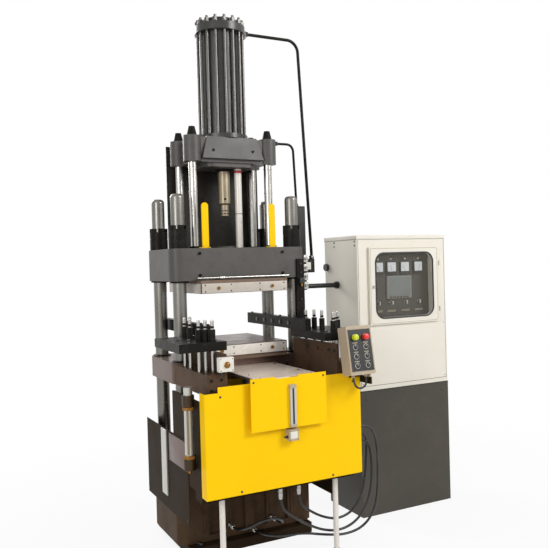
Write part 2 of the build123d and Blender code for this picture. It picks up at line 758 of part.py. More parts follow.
def level_bracket(z):
    """Brass end piece around the tube, with a foot on the side plate."""
    bore = LEVEL_DIAMETER + 2 * SEAT
    outer = LEVEL_DIAMETER + 2 * LEVEL_CLAMP_WALL
    foot_left = LEVEL_X + outer / 2 - LEVEL_CLAMP_WALL / 2
    foot_half = outer / 4
    body = ring(LEVEL_X, LEVEL_Y, z, z + LEVEL_END_HEIGHT, outer, bore)
    return body + block(foot_left, -COVER_WIDTH / 2 + SHEET, LEVEL_Y - foot_half, LEVEL_Y + foot_half,
                        z, z + LEVEL_CLAMP_HEIGHT)


# Control cabinet

cabinet_right = CABINET_LEFT + CABINET_WIDTH
cabinet_back = -CABINET_FRONT + CABINET_DEPTH


def cabinet_base():
    return block(CABINET_LEFT, cabinet_right, -CABINET_FRONT, cabinet_back, 0, CABINET_BASE)


def cabinet_housing():
    body = block(CABINET_LEFT, cabinet_right, -CABINET_FRONT, cabinet_back,
                 CABINET_BASE, CABINET_HEIGHT)
    upright = body.edges().filter_by(Axis.Z)
    body = fillet(upright, 6)
    niche = block(DOOR_LEFT + NICHE_MARGIN, DOOR_RIGHT - NICHE_MARGIN,
                  -CABINET_FRONT, -CABINET_FRONT + NICHE_DEPTH,
                  DOOR_BOTTOM + NICHE_MARGIN, DOOR_TOP - NICHE_MARGIN)
    return body - niche


def instrument_panel():
    gap = NICHE_MARGIN + SEAT
    return block(DOOR_LEFT + gap, DOOR_RIGHT - gap,
                 -CABINET_FRONT + NICHE_DEPTH - 6, -CABINET_FRONT + NICHE_DEPTH - SEAT,
                 DOOR_BOTTOM + gap, DOOR_TOP - gap)


door_y = -CABINET_FRONT - DOOR_GAP
window_x = (WINDOW_LEFT + WINDOW_RIGHT) / 2
window_z = (WINDOW_BOTTOM + WINDOW_TOP) / 2


def window_shape(grow):
    width = WINDOW_RIGHT - WINDOW_LEFT + 2 * grow
    height = WINDOW_TOP - WINDOW_BOTTOM + 2 * grow
    return RectangleRounded(width, height, WINDOW_CORNER + grow)


def window_plate(grow, y_front, thickness):
    face = Plane.XZ * window_shape(grow)
    return Pos(window_x, y_front + thickness, window_z) * extrude(face, thickness)


hinge_x = DOOR_RIGHT + HINGE_DIAMETER / 2 + 1
hinge_y = door_y - DOOR_THICKNESS / 2
HINGE_HEIGHTS = (DOOR_BOTTOM + 60, DOOR_TOP - 60 - 2 * HINGE_KNUCKLE)


def window_door():
    """Door leaf with its window opening and the upper hinge knuckles."""
    door = block(DOOR_LEFT, DOOR_RIGHT, door_y - DOOR_THICKNESS, door_y, DOOR_BOTTOM, DOOR_TOP)
    door -= window_plate(0, door_y - DOOR_THICKNESS, DOOR_THICKNESS)
    for z in HINGE_HEIGHTS:
        low = z + HINGE_KNUCKLE + 0.3
        high = z + 2 * HINGE_KNUCKLE
        knuckle = bar(hinge_x, hinge_y, low, high, HINGE_DIAMETER)
        knuckle += block(DOOR_RIGHT - 1, hinge_x, hinge_y - 3, hinge_y, low, high)
        door += knuckle - bar(hinge_x, hinge_y, low, high, HINGE_PIN + 2 * SEAT)
    return door


def window_glass():
    return window_plate(-SEAT, door_y - DOOR_THICKNESS + 5, 5)


def door_hinge(z):
    """Lower knuckle, its leaf on the cabinet and the pin it carries."""
    body = bar(hinge_x, hinge_y, z, z + HINGE_KNUCKLE, HINGE_DIAMETER)
    body += bar(hinge_x, hinge_y, z, z + 2 * HINGE_KNUCKLE, HINGE_PIN)
    body += block(hinge_x, hinge_x + 3, hinge_y, -CABINET_FRONT, z, z + HINGE_KNUCKLE)
    body += block(hinge_x, hinge_x + 18, -CABINET_FRONT - 3, -CABINET_FRONT, z, z + HINGE_KNUCKLE)
    return body


# Pendant

def pendant_place():
    return Pos(PENDANT_X, PENDANT_Y, PENDANT_TOP - PENDANT_HEIGHT / 2) * Rot(-PENDANT_TILT, 0, 0)


def pendant_box():
    """Box on a lug of its bracket, with the two glands of its cable loop."""
    box = Box(PENDANT_WIDTH, PENDANT_DEPTH, PENDANT_HEIGHT)
    box = pendant_place() * fillet(box.edges().filter_by(Axis.Y), PENDANT_CORNER)
    side = COVER_WIDTH / 2
    box += block(side, side + BRACKET_PLATE, LUG_FRONT, LUG_BACK, BRACKET_TOP, BRACKET_TOP + LUG_HEIGHT)
    gland_z = -PENDANT_HEIGHT / 2 + (GLAND_SUNK - GLAND_LENGTH) / 2
    for x in (-CABLE_LOOP_WIDTH / 2, CABLE_LOOP_WIDTH / 2):
        box += pendant_place() * Pos(x, 0, gland_z) * Cylinder(GLAND_DIAMETER / 2, GLAND_SUNK + GLAND_LENGTH)
    return box


def pendant_panel():
    panel = Box(PENDANT_WIDTH - 2 * PENDANT_PANEL_EDGE, PENDANT_PANEL, PENDANT_HEIGHT - 2 * PENDANT_PANEL_ENDS)
    return pendant_place() * Pos(0, -PENDANT_DEPTH / 2 - PENDANT_PANEL / 2, 0) * panel


def pendant_bracket():
    """Flat bracket on the right side plate, with the strap that carries the pendant."""
    side = COVER_WIDTH / 2
    outer = side + BRACKET_PLATE
    body = block(side, outer, BRACKET_FRONT, BRACKET_BACK, BRACKET_STRAP, BRACKET_TOP)
    body += block(side, outer, BRACKET_FOOT_FRONT, BRACKET_BACK, BRACKET_LOW, BRACKET_TOP)
    return body + block(side - SHEET, outer, BRACKET_FOOT_FRONT, BRACKET_BACK, BRACKET_LOW, SIDE_PLATE_TOP)


# Pipes, hoses and cable

def bend_radii(points):
    """The largest fair bend at each corner of a route."""
    radii = []
    for before, corner, after in zip(points, points[1:], points[2:]):
        run_in = Vector(*corner) - Vector(*before)
        run_out = Vector(*after) - Vector(*corner)
        half_turn = radians(run_in.get_angle(run_out)) / 2
        radii.append(BEND_SHARE * min(run_in.length, run_out.length) / tan(half_turn))
    return radii


def tube(points, radii, diameter):
    """Round tube along straight runs joined by arcs."""
    path = FilletPolyline(*points, radius=radii)
    return sweep(Plane(path @ 0, z_dir=path % 0) * Circle(diameter / 2), path)


def cord(name, points, diameter):
    """Hose or cable, with its bends printed."""
    radii = bend_radii(points)
    print(name, "bend radii", [round(r, 1) for r in radii])
    return tube(points, radii, diameter)


def pressure_pipe():
    """Steel pipe from the head of the injection cylinder down to the manifold."""
    z = head_top - PIPE_BELOW_TOP
    foot_z = platen_z + MANIFOLD_UP + MANIFOLD_HEIGHT
    points = [(HEAD_DIAMETER / 2 + HEAD_PORT, 0, z), (PIPE_CORNER_X, 0, z),
              (PIPE_FOOT_X, 0, foot_z + PIPE_FOOT), (PIPE_FOOT_X, 0, foot_z)]
    return tube(points, [PIPE_BEND, PIPE_SOFT_BEND], PRESSURE_PIPE_DIAMETER)


def feed_pipe():
    """Steel pipe from the beam's right front lobe down into the cable duct."""
    start_x = COL_X + BEAM_LOBE
    duct_x = HALF_X + DUCT_WIDTH / 2
    duct_y = (DUCT_FRONT + DUCT_BACK) / 2
    z = beam_top - FEED_PIPE_DROP
    foot_z = platen_top + DUCT_ABOVE
    points = [(start_x, -COL_Y, z), (start_x + FEED_PIPE_OUT, -COL_Y, z),
              (duct_x, duct_y, foot_z + PIPE_FOOT), (duct_x, duct_y, foot_z)]
    return tube(points, [FEED_BEND, FEED_SOFT_BEND], FEED_PIPE_DIAMETER)


def cabinet_conduit():
    """Conduit from the duct to a gland on the cabinet, and a spare gland above it."""
    duct_side = HALF_X + DUCT_WIDTH
    gland_left = CABINET_LEFT - CONDUIT_GLAND_LENGTH
    gland_right = duct_side + CONDUIT_GLAND_LENGTH
    conduit = along_x(duct_side, CABINET_LEFT, CONDUIT_Y, CONDUIT_Z, CONDUIT_DIAMETER)
    conduit += along_x(duct_side, gland_right, CONDUIT_Y, CONDUIT_Z, CONDUIT_GLAND)
    conduit += along_x(gland_left, CABINET_LEFT, CONDUIT_Y, CONDUIT_Z, CONDUIT_GLAND)
    spare = along_x(gland_left, CABINET_LEFT, SPARE_GLAND_Y, SPARE_GLAND_Z, CONDUIT_GLAND)
    return conduit, spare


lower_bar_z = COVER_BOTTOM - LOWER_BAR_DROP
side_plate_x = COVER_WIDTH / 2 - SHEET
hose_end_x = side_plate_x + SIDE_FITTING
hose_end_y = -HALF_Y - CROSSHEAD_FITTING
hose_top_z = lower_bar_z - BAR_FITTING

# Fittings under the lower bar (x, y), on the right side plate (y, z) and on the crosshead (x, z)
BAR_FITTINGS = [(10, -575), (125, -555)]
SIDE_FITTINGS = [(-560, 560), (-530, 600), (-600, 640)]
CROSSHEAD_FITTINGS = [(-125, 120), (0, 80), (125, 115)]

HOSE_ROUTES = {
    "hose_left": [
        (10, -575, hose_top_z), (10, -575, 285), (75, -574, 232), (160, -570, 172), (255, -566, 122),
        (360, -562, 98), (460, -560, 122), (530, -560, 190), (565, -560, 285), (574, -560, 390),
        (568, -560, 512), (519, -560, 560), (hose_end_x, -560, 560)],
    "hose_middle": [
        (125, -555, hose_top_z), (125, -555, 285), (185, -550, 232), (270, -540, 180), (365, -532, 148),
        (455, -528, 165), (515, -527, 225), (545, -528, 310), (556, -529, 400), (562, -530, 470),
        (566, -530, 552), (518, -530, 600), (hose_end_x, -530, 600)],
    "hose_right": [
        (hose_end_x, -600, 640), (520, -600, 640), (572, -599, 588), (590, -592, 490), (598, -580, 380),
        (603, -566, 265), (585, -556, 155), (515, -550, 82), (405, -545, 62), (285, -536, 82),
        (165, -515, 110), (60, -450, 88), (0, -335, 80), (0, hose_end_y, 80)],
    "hose_arch": [
        (-125, hose_end_y, 120), (-125, -335, 120), (-100, -420, 155), (-40, -470, 198), (35, -475, 200),
        (100, -430, 155), (125, -345, 115), (125, hose_end_y, 115)],
}
CABLE_ROUTE = [(338, -761.1, 926.0), (338, -766.6, 895.0), (360.3, -767.5, 872.7),
               (391.7, -767.5, 872.7), (414, -766.6, 895.0), (414, -761.1, 926.0)]


def hose_fittings():
    """One fitting at each end of every hose."""
    fittings = [bar(x, y, hose_top_z, lower_bar_z, FITTING_DIAMETER) for x, y in BAR_FITTINGS]
    for y, z in SIDE_FITTINGS:
        fittings.append(along_x(side_plate_x, hose_end_x, y, z, FITTING_DIAMETER))
    for x, z in CROSSHEAD_FITTINGS:
        fittings.append(along_y(x, hose_end_y, -HALF_Y, z, FITTING_DIAMETER))
    return fittings


save("base_plate", base_plate())
save("lower_crosshead", lower_crosshead())
save("clamp_cylinder", clamp_cylinder())
save("tie_bars", *[tie_bar(x, y) for x, y in TIE_POINTS])
save("tie_bar_nuts", *[tie_nut(x, y) for x, y in TIE_POINTS])
save("upper_platen", upper_platen())
save("upper_insulation", hot_plate(UPPER_HOT_WIDTH, upper_hot_top, platen_z))
save("upper_hot_plate", hot_plate(UPPER_HOT_WIDTH, upper_hot_z, upper_hot_top))
save("front_rail", front_rail())
save("injection_columns", *[column(x, y) for x, y in COLUMN_POINTS])
save("column_nuts", *[column_nut(x, y) for x, y in COLUMN_POINTS])
save("upper_beam", upper_beam())
save("cylinder_barrel", cylinder_barrel())
save("cylinder_head", cylinder_head())
save("cylinder_studs", *[cylinder_stud(x, y) for x, y in stud_points()])
save("injection_plunger", plunger())
save("gauge_rod", gauge_rod())
save("stop_bars", stop_bar(-1), stop_bar(1))
save("rear_guard", rear_guard())
save("side_duct", side_duct())
save("switch_bar", switch_bar())
save("moving_platen", moving_platen())
save("clamp_ram", clamp_ram())
save("lower_insulation", hot_plate(LOWER_HOT_WIDTH, moving_top, lower_hot_z))
save("lower_hot_plate", hot_plate(LOWER_HOT_WIDTH, lower_hot_z, lower_hot_top))
save("lift_bases", lift_base(-1), lift_base(1))
for side_name, side_sign in (("left", -1), ("right", 1)):
    save(f"{side_name}_lift_plate", lift_plate(side_sign))
    save(f"{side_name}_lift_rail", lift_rail(side_sign))
    save(f"{side_name}_lift_pins", *[lift_pin(x, y) for x, y in lift_pin_points(side_sign)])
save("front_cover", front_cover())
save("front_frame", front_frame())
save("front_legs", front_leg(-1), front_leg(1))
save("side_panels", side_panel(-1), side_panel(1))
save("indicator_plate", indicator_plate())
save("indicator_arms", indicator_arm(-1), indicator_arm(1))
save("linear_scale", linear_scale())
save("scale_reader", scale_reader())
save("level_tube", level_tube())
save("level_tube_brackets", level_bracket(LEVEL_LOWER_END), level_bracket(LEVEL_UPPER_END))
save("cabinet_base", cabinet_base())
save("cabinet_housing", cabinet_housing())
save("instrument_panel", instrument_panel())
save("window_door", window_door())
save("window_glass", window_glass())
save("door_hinges", *[door_hinge(z) for z in HINGE_HEIGHTS])
save("pendant_box", pendant_box())
save("pendant_panel", pendant_panel())
save("pendant_bracket", pendant_bracket())
save("pendant_cable", cord("pendant_cable", CABLE_ROUTE, CABLE_DIAMETER))
save("steel_pipes", pressure_pipe(), feed_pipe())
save("cabinet_conduit", *cabinet_conduit())
save("hose_fittings", *hose_fittings())
for hose_name, hose_points in HOSE_ROUTES.items():
    save(hose_name, cord(hose_name, hose_points, HOSE_DIAMETER))
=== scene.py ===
import json
from math import cos, pi, radians, sin

import bmesh
import bpy
from mathutils import Matrix, Vector


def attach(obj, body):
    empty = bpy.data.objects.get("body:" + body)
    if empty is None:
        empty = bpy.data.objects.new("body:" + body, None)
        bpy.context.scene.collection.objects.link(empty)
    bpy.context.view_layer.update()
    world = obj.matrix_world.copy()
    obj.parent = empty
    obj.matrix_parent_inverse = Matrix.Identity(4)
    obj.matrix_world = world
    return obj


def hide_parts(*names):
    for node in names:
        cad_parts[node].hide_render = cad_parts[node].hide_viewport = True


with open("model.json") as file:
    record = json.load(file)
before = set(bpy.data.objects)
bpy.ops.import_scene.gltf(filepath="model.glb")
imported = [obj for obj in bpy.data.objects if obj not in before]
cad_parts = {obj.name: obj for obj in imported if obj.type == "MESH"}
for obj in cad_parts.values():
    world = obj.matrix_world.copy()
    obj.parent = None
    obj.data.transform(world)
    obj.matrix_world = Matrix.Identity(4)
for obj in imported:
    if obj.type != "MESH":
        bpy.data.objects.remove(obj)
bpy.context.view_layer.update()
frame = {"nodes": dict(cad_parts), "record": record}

# Camera, worked out from the photograph (metres, radians, pixels)
PHOTO_SIZE = 548
FOCAL_PIXELS = 695.93
SENSOR_MM = 36.0
CAMERA_PLACE = Vector((-1.5686, -3.6429, 1.5))
CAMERA_YAW = 0.47474
CAMERA_PITCH = -0.01415
CAMERA_ROLL = -0.02775

# Floor, sky and lamps (metres, watts)
FLOOR_REACH = 14.0
FLOOR_LEVEL = 0.86            # how light the floor itself is
FLOOR_GLOW = 0.88             # share of the floor that shows as plain white near the machine
FLOOR_NEAR = 1.2              # distance from the middle at which that share starts to grow
FLOOR_FAR = 3.4               # distance from which the floor is plain white
FLOOR_SHIFT = (-0.4, 0.25, 0.0)         # brings the machine's middle to the floor's origin
SKY_LEVEL = 0.42              # strength of the sky as light
LAMPS = [                     # name, place, what it is aimed at, size, power
    ("key", (3.2, -4.6, 4.2), (0.3, -0.2, 1.2), 2.4, 215),
    ("fill", (-4.2, -3.0, 2.6), (0.0, 0.0, 1.3), 2.6, 80),
    ("rim", (-1.0, 3.8, 3.4), (0.2, 0.0, 1.6), 2.2, 110),
]


def rgb(red, green, blue):
    """A display colour, 0 to 255, as the linear colour that nodes take."""
    def linear(level):
        level = level / 255
        return level / 12.92 if level <= 0.04045 else ((level + 0.055) / 1.055) ** 2.4
    return (linear(red), linear(green), linear(blue), 1.0)


# Materials

def noise(tree, scale, detail, rough, stretch=None):
    """Noise over the object's own place, drawn out along an axis where asked."""
    nodes, links = tree.nodes, tree.links
    place = nodes.new("ShaderNodeTexCoord")
    texture = nodes.new("ShaderNodeTexNoise")
    texture.inputs["Scale"].default_value = scale
    texture.inputs["Detail"].default_value = detail
    texture.inputs["Roughness"].default_value = rough
    source = place.outputs["Object"]
    if stretch:
        mapping = nodes.new("ShaderNodeMapping")
        mapping.inputs["Scale"].default_value = stretch
        links.new(source, mapping.inputs["Vector"])
        source = mapping.outputs["Vector"]
    links.new(source, texture.inputs["Vector"])
    return texture.outputs["Fac"]


def ramp(tree, value, low, high, start=0.3, end=0.7):
    """Colour or grey level between two ends, driven by a value."""
    node = tree.nodes.new("ShaderNodeValToRGB")
    node.color_ramp.elements[0].position = start
    node.color_ramp.elements[1].position = end
    node.color_ramp.elements[0].color = low
    node.color_ramp.elements[1].color = high
    tree.links.new(value, node.inputs["Fac"])
    return node.outputs["Color"]


def grey(level):
    """A grey as a linear colour."""
    return (level, level, level, 1.0)


def shade(colour, factor):
    """The colour made darker or lighter."""
    return (colour[0] * factor, colour[1] * factor, colour[2] * factor, 1.0)


SHEEN_SPREAD = 0.09           # how far the roughness strays to both sides
BUMP_DEPTH = 0.0006           # metres
BUMP_GAIN = 10                # bump strength for each unit of a finish's bump
MIX_FACTOR, MIX_A, MIX_B = 0, 6, 7      # a colour Mix node's sockets
MIX_RESULT = 2


def finish(name, colour, rough=0.45, metal=0.0, blotch=0.12, blotch_scale=6.0, grain=300.0,
           bump=0.02, stretch=None, dirt=None, dirt_amount=0.25, shine=0.5):
    """Painted or bare surface: blotches of tone, uneven sheen, fine grain and some dirt."""
    material = bpy.data.materials.new(name)
    material.use_nodes = True
    tree = material.node_tree
    shader = tree.nodes["Principled BSDF"]
    shader.inputs["Metallic"].default_value = metal
    shader.inputs["Specular IOR Level"].default_value = shine
    broad = noise(tree, blotch_scale, 5.0, 0.6, stretch)
    tone = ramp(tree, broad, shade(colour, 1 - blotch), shade(colour, 1 + blotch))
    if dirt:
        spots = noise(tree, blotch_scale * 2.3, 8.0, 0.7)
        amount = ramp(tree, spots, grey(0.0), grey(dirt_amount), 0.5, 0.72)
        mix = tree.nodes.new("ShaderNodeMix")
        mix.data_type = "RGBA"
        tree.links.new(amount, mix.inputs[MIX_FACTOR])
        tree.links.new(tone, mix.inputs[MIX_A])
        mix.inputs[MIX_B].default_value = dirt
        tone = mix.outputs[MIX_RESULT]
    tree.links.new(tone, shader.inputs["Base Color"])
    sheen = ramp(tree, broad, grey(max(0.03, rough - SHEEN_SPREAD)),
                 grey(min(1.0, rough + SHEEN_SPREAD)))
    tree.links.new(sheen, shader.inputs["Roughness"])
    fine = noise(tree, grain, 3.0, 0.5, stretch)
    height = tree.nodes.new("ShaderNodeBump")
    height.inputs["Strength"].default_value = bump * BUMP_GAIN
    height.inputs["Distance"].default_value = BUMP_DEPTH
    tree.links.new(fine, height.inputs["Height"])
    tree.links.new(height.outputs["Normal"], shader.inputs["Normal"])
    return material


ALONG_Z = (60.0, 60.0, 1.0)   # draws the noise out along upright pieces
SOOT = rgb(22, 20, 17)
RUST_BROWN = rgb(96, 66, 48)
DUST = rgb(150, 144, 132)

BLACK_PAINT = finish("black_paint", rgb(38, 35, 31), 0.34, dirt=DUST, dirt_amount=0.06, bump=0.04,
                     grain=220, shine=0.22)
BARREL_PAINT = finish("barrel_paint", rgb(48, 47, 45), 0.32, dirt=DUST, dirt_amount=0.08, bump=0.04,
                      grain=220, shine=0.45)
BODY_PAINT = finish("body_paint", rgb(48, 37, 26), 0.50, blotch=0.25, blotch_scale=3.0, dirt=SOOT,
                    dirt_amount=0.5, bump=0.05, grain=180, shine=0.03)
CROSSHEAD_PAINT = finish("crosshead_paint", rgb(84, 66, 51), 0.46, blotch=0.25, blotch_scale=3.0, dirt=SOOT,
                         dirt_amount=0.5, bump=0.05, grain=180, shine=0.03)
LIFT_PAINT = finish("lift_paint", rgb(84, 65, 51), 0.42, blotch=0.2, blotch_scale=4.0, dirt=SOOT,
                    dirt_amount=0.5, bump=0.05, grain=180, shine=0.04)
GREY_CASTING = finish("grey_casting", rgb(76, 73, 69), 0.44, dirt=SOOT, dirt_amount=0.30, bump=0.06,
                      grain=160, shine=0.4)
BRIGHT_STEEL = finish("bright_steel", rgb(122, 120, 114), 0.30, 0.95, blotch=0.10, blotch_scale=3.0,
                      grain=700, bump=0.002, dirt=RUST_BROWN, dirt_amount=0.12)
BLACK_STEEL = finish("black_steel", rgb(28, 26, 23), 0.34, dirt=DUST, dirt_amount=0.06, bump=0.03,
                     shine=0.08)
STUD_STEEL = finish("stud_steel", rgb(74, 73, 70), 0.26, 0.85, blotch=0.12, dirt=SOOT, dirt_amount=0.35,
                    bump=0.01)
ROD_STEEL = finish("rod_steel", rgb(100, 98, 94), 0.30, 0.9, blotch=0.1, dirt=SOOT, dirt_amount=0.3,
                   bump=0.005)
TOOL_STEEL = finish("tool_steel", rgb(104, 84, 76), 0.34, 0.7, dirt=SOOT, dirt_amount=0.4, bump=0.03)
CHROME = finish("chrome", rgb(180, 178, 172), 0.22, 1.0, blotch=0.04, grain=400, bump=0.002)
WHITE_ROD = finish("white_rod", rgb(226, 220, 212), 0.3, 0.1, blotch=0.05, dirt=RUST_BROWN,
                   dirt_amount=0.08)
YELLOW_PAINT = finish("yellow_paint", rgb(250, 200, 0), 0.42, blotch=0.03, blotch_scale=2.2, grain=260,
                      dirt=rgb(222, 172, 6), dirt_amount=0.08, shine=0.12)
BEIGE_PAINT = finish("beige_paint", rgb(224, 219, 206), 0.42, blotch=0.025, blotch_scale=2.0, grain=260,
                     dirt=rgb(198, 190, 172), dirt_amount=0.15)
BASE_PAINT = finish("base_paint", rgb(72, 69, 62), 0.40, blotch=0.14, blotch_scale=1.6, grain=260,
                    dirt=rgb(104, 84, 68), dirt_amount=0.30, shine=0.25)
PLATE_COVER = finish("plate_cover", rgb(196, 187, 176), 0.32, 0.15, blotch=0.05, dirt=rgb(150, 130, 110),
                     dirt_amount=0.3)
# Same sheet as plate_cover, made lighter for the lower hot plate: a painted highlight where the light falls
# on it.
PAINTED_LIGHT_COVER = finish("painted_light_cover", rgb(246, 241, 232), 0.26, 0.15, blotch=0.03,
                        dirt=rgb(190, 172, 152), dirt_amount=0.2)
ARM_SHEET = finish("arm_sheet", rgb(228, 212, 196), 0.34, 0.15, blotch=0.05, dirt=rgb(150, 130, 110),
                   dirt_amount=0.35)
INSULATION = finish("insulation", rgb(118, 98, 82), 0.75, blotch=0.2, blotch_scale=40, grain=500,
                    bump=0.08)
BRONZE = finish("bronze", rgb(150, 138, 116), 0.34, 0.6, blotch=0.12, dirt=rgb(90, 74, 58),
                dirt_amount=0.35)
DULL_BRASS = finish("dull_brass", rgb(66, 52, 36), 0.42, 0.6, blotch=0.15, dirt=SOOT, dirt_amount=0.4)
BRASS = finish("brass", rgb(150, 108, 54), 0.32, 0.85, blotch=0.1, dirt=rgb(80, 58, 36), dirt_amount=0.3)
ALUMINIUM = finish("aluminium", rgb(196, 194, 188), 0.34, 0.6, blotch=0.06, stretch=ALONG_Z)
GREY_PLASTIC = finish("grey_plastic", rgb(176, 160, 136), 0.48, blotch=0.05, grain=600, bump=0.04)
WHITE_PLASTIC = finish("white_plastic", rgb(226, 222, 212), 0.42, blotch=0.03, grain=600, bump=0.03)
BLACK_PLASTIC = finish("black_plastic", rgb(28, 28, 27), 0.4, blotch=0.08, grain=600, bump=0.04)
PANEL_GREY = finish("panel_grey", rgb(66, 63, 57), 0.5, blotch=0.08, grain=500, bump=0.03)
RUBBER = finish("rubber", rgb(24, 24, 23), 0.34, blotch=0.1, grain=700, bump=0.05, dirt=DUST,
                dirt_amount=0.12)
GREEN_BUTTON = finish("green_button", rgb(196, 204, 30), 0.30, blotch=0.04, grain=600, bump=0.01)
RED_BUTTON = finish("red_button", rgb(226, 52, 44), 0.30, blotch=0.04, grain=600, bump=0.01)
RED_BAND = finish("red_band", rgb(196, 60, 56), 0.40, blotch=0.08, grain=500, bump=0.02)
METER_FACE = finish("meter_face", rgb(236, 240, 244), 0.30, blotch=0.03, grain=500, bump=0.01)
CASE_GREY = finish("case_grey", rgb(138, 138, 134), 0.45, blotch=0.05, grain=600, bump=0.03)
SCREEN = finish("screen", rgb(128, 134, 132), 0.18, blotch=0.10, blotch_scale=9.0, grain=400, bump=0.01)
PALE_STRIP = finish("pale_strip", rgb(150, 140, 118), 0.45, blotch=0.06, grain=500, bump=0.02)


def glass(name, colour, rough, alpha):
    """Thin sheet that is seen through and still mirrors the room."""
    material = bpy.data.materials.new(name)
    material.use_nodes = True
    tree = material.node_tree
    shader = tree.nodes["Principled BSDF"]
    shader.inputs["Base Color"].default_value = colour
    shader.inputs["Alpha"].default_value = alpha
    smear = noise(tree, 14.0, 6.0, 0.7)
    sheen = ramp(tree, smear, grey(rough), grey(rough + 0.12))
    tree.links.new(sheen, shader.inputs["Roughness"])
    return material


WINDOW_GLASS = glass("window_glass", rgb(120, 114, 104), rough=0.06, alpha=0.14)

SLOT_FINISH = {
    "black_paint": BLACK_PAINT, "grey_paint": GREY_CASTING, "bright_steel": BRIGHT_STEEL,
    "black_steel": BLACK_STEEL, "tool_steel": TOOL_STEEL, "chrome": CHROME, "white_rod": WHITE_ROD,
    "yellow_paint": YELLOW_PAINT, "beige_paint": BEIGE_PAINT, "base_paint": BASE_PAINT,
    "plate_cover": PLATE_COVER, "insulation": INSULATION, "bronze": BRONZE, "brass": BRASS,
    "aluminium": ALUMINIUM, "grey_plastic": GREY_PLASTIC, "black_plastic": BLACK_PLASTIC,
    "panel_grey": PANEL_GREY, "window_glass": WINDOW_GLASS, "rubber": RUBBER,
}


NODE_FINISH = {
    "lower_crosshead": CROSSHEAD_PAINT, "clamp_cylinder": CROSSHEAD_PAINT, "side_panels": BODY_PAINT,
    "base_plate": BODY_PAINT, "front_frame": BODY_PAINT, "lift_bases": LIFT_PAINT,
    "cylinder_barrel": BARREL_PAINT, "cylinder_head": BARREL_PAINT,
    "cylinder_studs": ROD_STEEL, "upper_hot_plate": TOOL_STEEL, "lower_hot_plate": TOOL_STEEL,
    "level_tube_brackets": DULL_BRASS, "level_tube": ALUMINIUM,
}


def dress_nodes():
    """Every CAD node gets the finish of its slot, or one of its own."""
    slots = {row["node"]: row["material_slot"] for row in frame["record"]["subparts"]}
    for node, piece in frame["nodes"].items():
        piece.data.materials.clear()
        piece.data.materials.append(NODE_FINISH.get(node, SLOT_FINISH[slots[node]]))


dress_nodes()


# Building blocks of the pieces

PRESS = "press_frame"
PLATEN = "moving_platen"
PLUNGER = "injection_plunger"
DOOR = "window_door"

FRONT = (0, -1, 0)
UP = (0, 0, 1)
DOWN = (0, 0, -1)
LEFT = (-1, 0, 0)
RIGHT = (1, 0, 0)
ROUND = 40
HEX = 6


def turned(bm, profile, place, aim, sides=ROUND):
    """Turned form: (radius, height) pairs along a direction from a place."""
    turn = Vector(aim).to_track_quat("Z", "Y").to_matrix()
    rings = []
    for radius, height in profile:
        ring = []
        for i in range(sides):
            angle = 2 * pi * i / sides
            local = Vector((radius * cos(angle), radius * sin(angle), height))
            ring.append(bm.verts.new(turn @ local + Vector(place)))
        rings.append(ring)
    for low, high in zip(rings, rings[1:]):
        for i in range(sides):
            j = (i + 1) % sides
            bm.faces.new((low[i], low[j], high[j], high[i]))
    bm.faces.new(list(reversed(rings[0])))
    bm.faces.new(rings[-1])


def slab(bm, low, high, bevel, where=None):
    """Block with rounded edges between two corners, moved by a matrix where given."""
    low, high = Vector(low), Vector(high)
    middle = (low + high) / 2
    size = high - low
    verts = bmesh.ops.create_cube(bm, size=1.0)["verts"]
    for vert in verts:
        local = Vector([vert.co[i] * size[i] + middle[i] for i in range(3)])
        vert.co = where @ local if where else local
    edges = list({edge for vert in verts for edge in vert.link_edges})
    bmesh.ops.bevel(bm, geom=edges, offset=bevel, segments=3, profile=0.6, affect="EDGES",
                    clamp_overlap=True)


SMOOTH_BELOW = radians(32)    # edges flatter than this are shaded smooth


def piece(name, bm, material, body):
    """Makes the object and lets it ride on a body."""
    mesh = bpy.data.meshes.new(name)
    bm.to_mesh(mesh)
    bm.free()
    mesh.shade_smooth()
    mesh.set_sharp_from_angle(angle=SMOOTH_BELOW)
    mesh.materials.append(material)
    made = bpy.data.objects.new(name, mesh)
    bpy.context.scene.collection.objects.link(made)
    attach(made, body)
    return made


def slabs(name, boxes, material, body, bevel=0.002, where=None):
    """One piece of several blocks, each given by two corners."""
    bm = bmesh.new()
    for low, high in boxes:
        slab(bm, low, high, bevel, where)
    return piece(name, bm, material, body)


def turnings(name, profile, places, aim, material, body, sides=ROUND):
    """One piece of the same turned form at several places."""
    bm = bmesh.new()
    for place in places:
        turned(bm, profile, place, aim, sides)
    return piece(name, bm, material, body)


def cap_screw(radius):
    """Socket-head screw: a head with a rounded rim and a hole in its middle."""
    return [(radius, 0.0), (radius, radius * 0.8), (radius * 0.92, radius), (radius * 0.5, radius),
            (radius * 0.44, radius * 0.55), (radius * 0.02, radius * 0.5)]


def button_screw(radius):
    """Low domed screw with a small hole."""
    return [(radius, 0.0), (radius * 0.92, radius * 0.3), (radius * 0.6, radius * 0.52),
            (radius * 0.34, radius * 0.56), (radius * 0.3, radius * 0.3), (radius * 0.02, radius * 0.28)]


def nut(radius, height, rim, chamfer):
    """Nut, union or washer: straight sides, then a chamfer up to a narrower rim."""
    return [(radius, 0.0), (radius, height), (rim, height + chamfer)]


def around(count, radius, level):
    """Places on a circle about the machine's upright axis, the first half a step off X."""
    angles = [2 * pi * (i + 0.5) / count for i in range(count)]
    return [(radius * cos(angle), radius * sin(angle), level) for angle in angles]


def hex_bolt(name, radius, places, aim, material, body):
    """Hexagon heads, each on a round washer."""
    bm = bmesh.new()
    for place in places:
        turned(bm, [(radius * 1.35, 0.0), (radius * 1.35, radius * 0.2), (radius * 1.25, radius * 0.26)],
               place, aim)
        start = Vector(place) + Vector(aim) * radius * 0.26
        turned(bm, [(radius, 0.0), (radius, radius * 0.7), (radius * 0.86, radius * 0.85)], start, aim, HEX)
    return piece(name, bm, material, body)


# Hoses and the pendant's cable, along the same routes as their solids (metres)

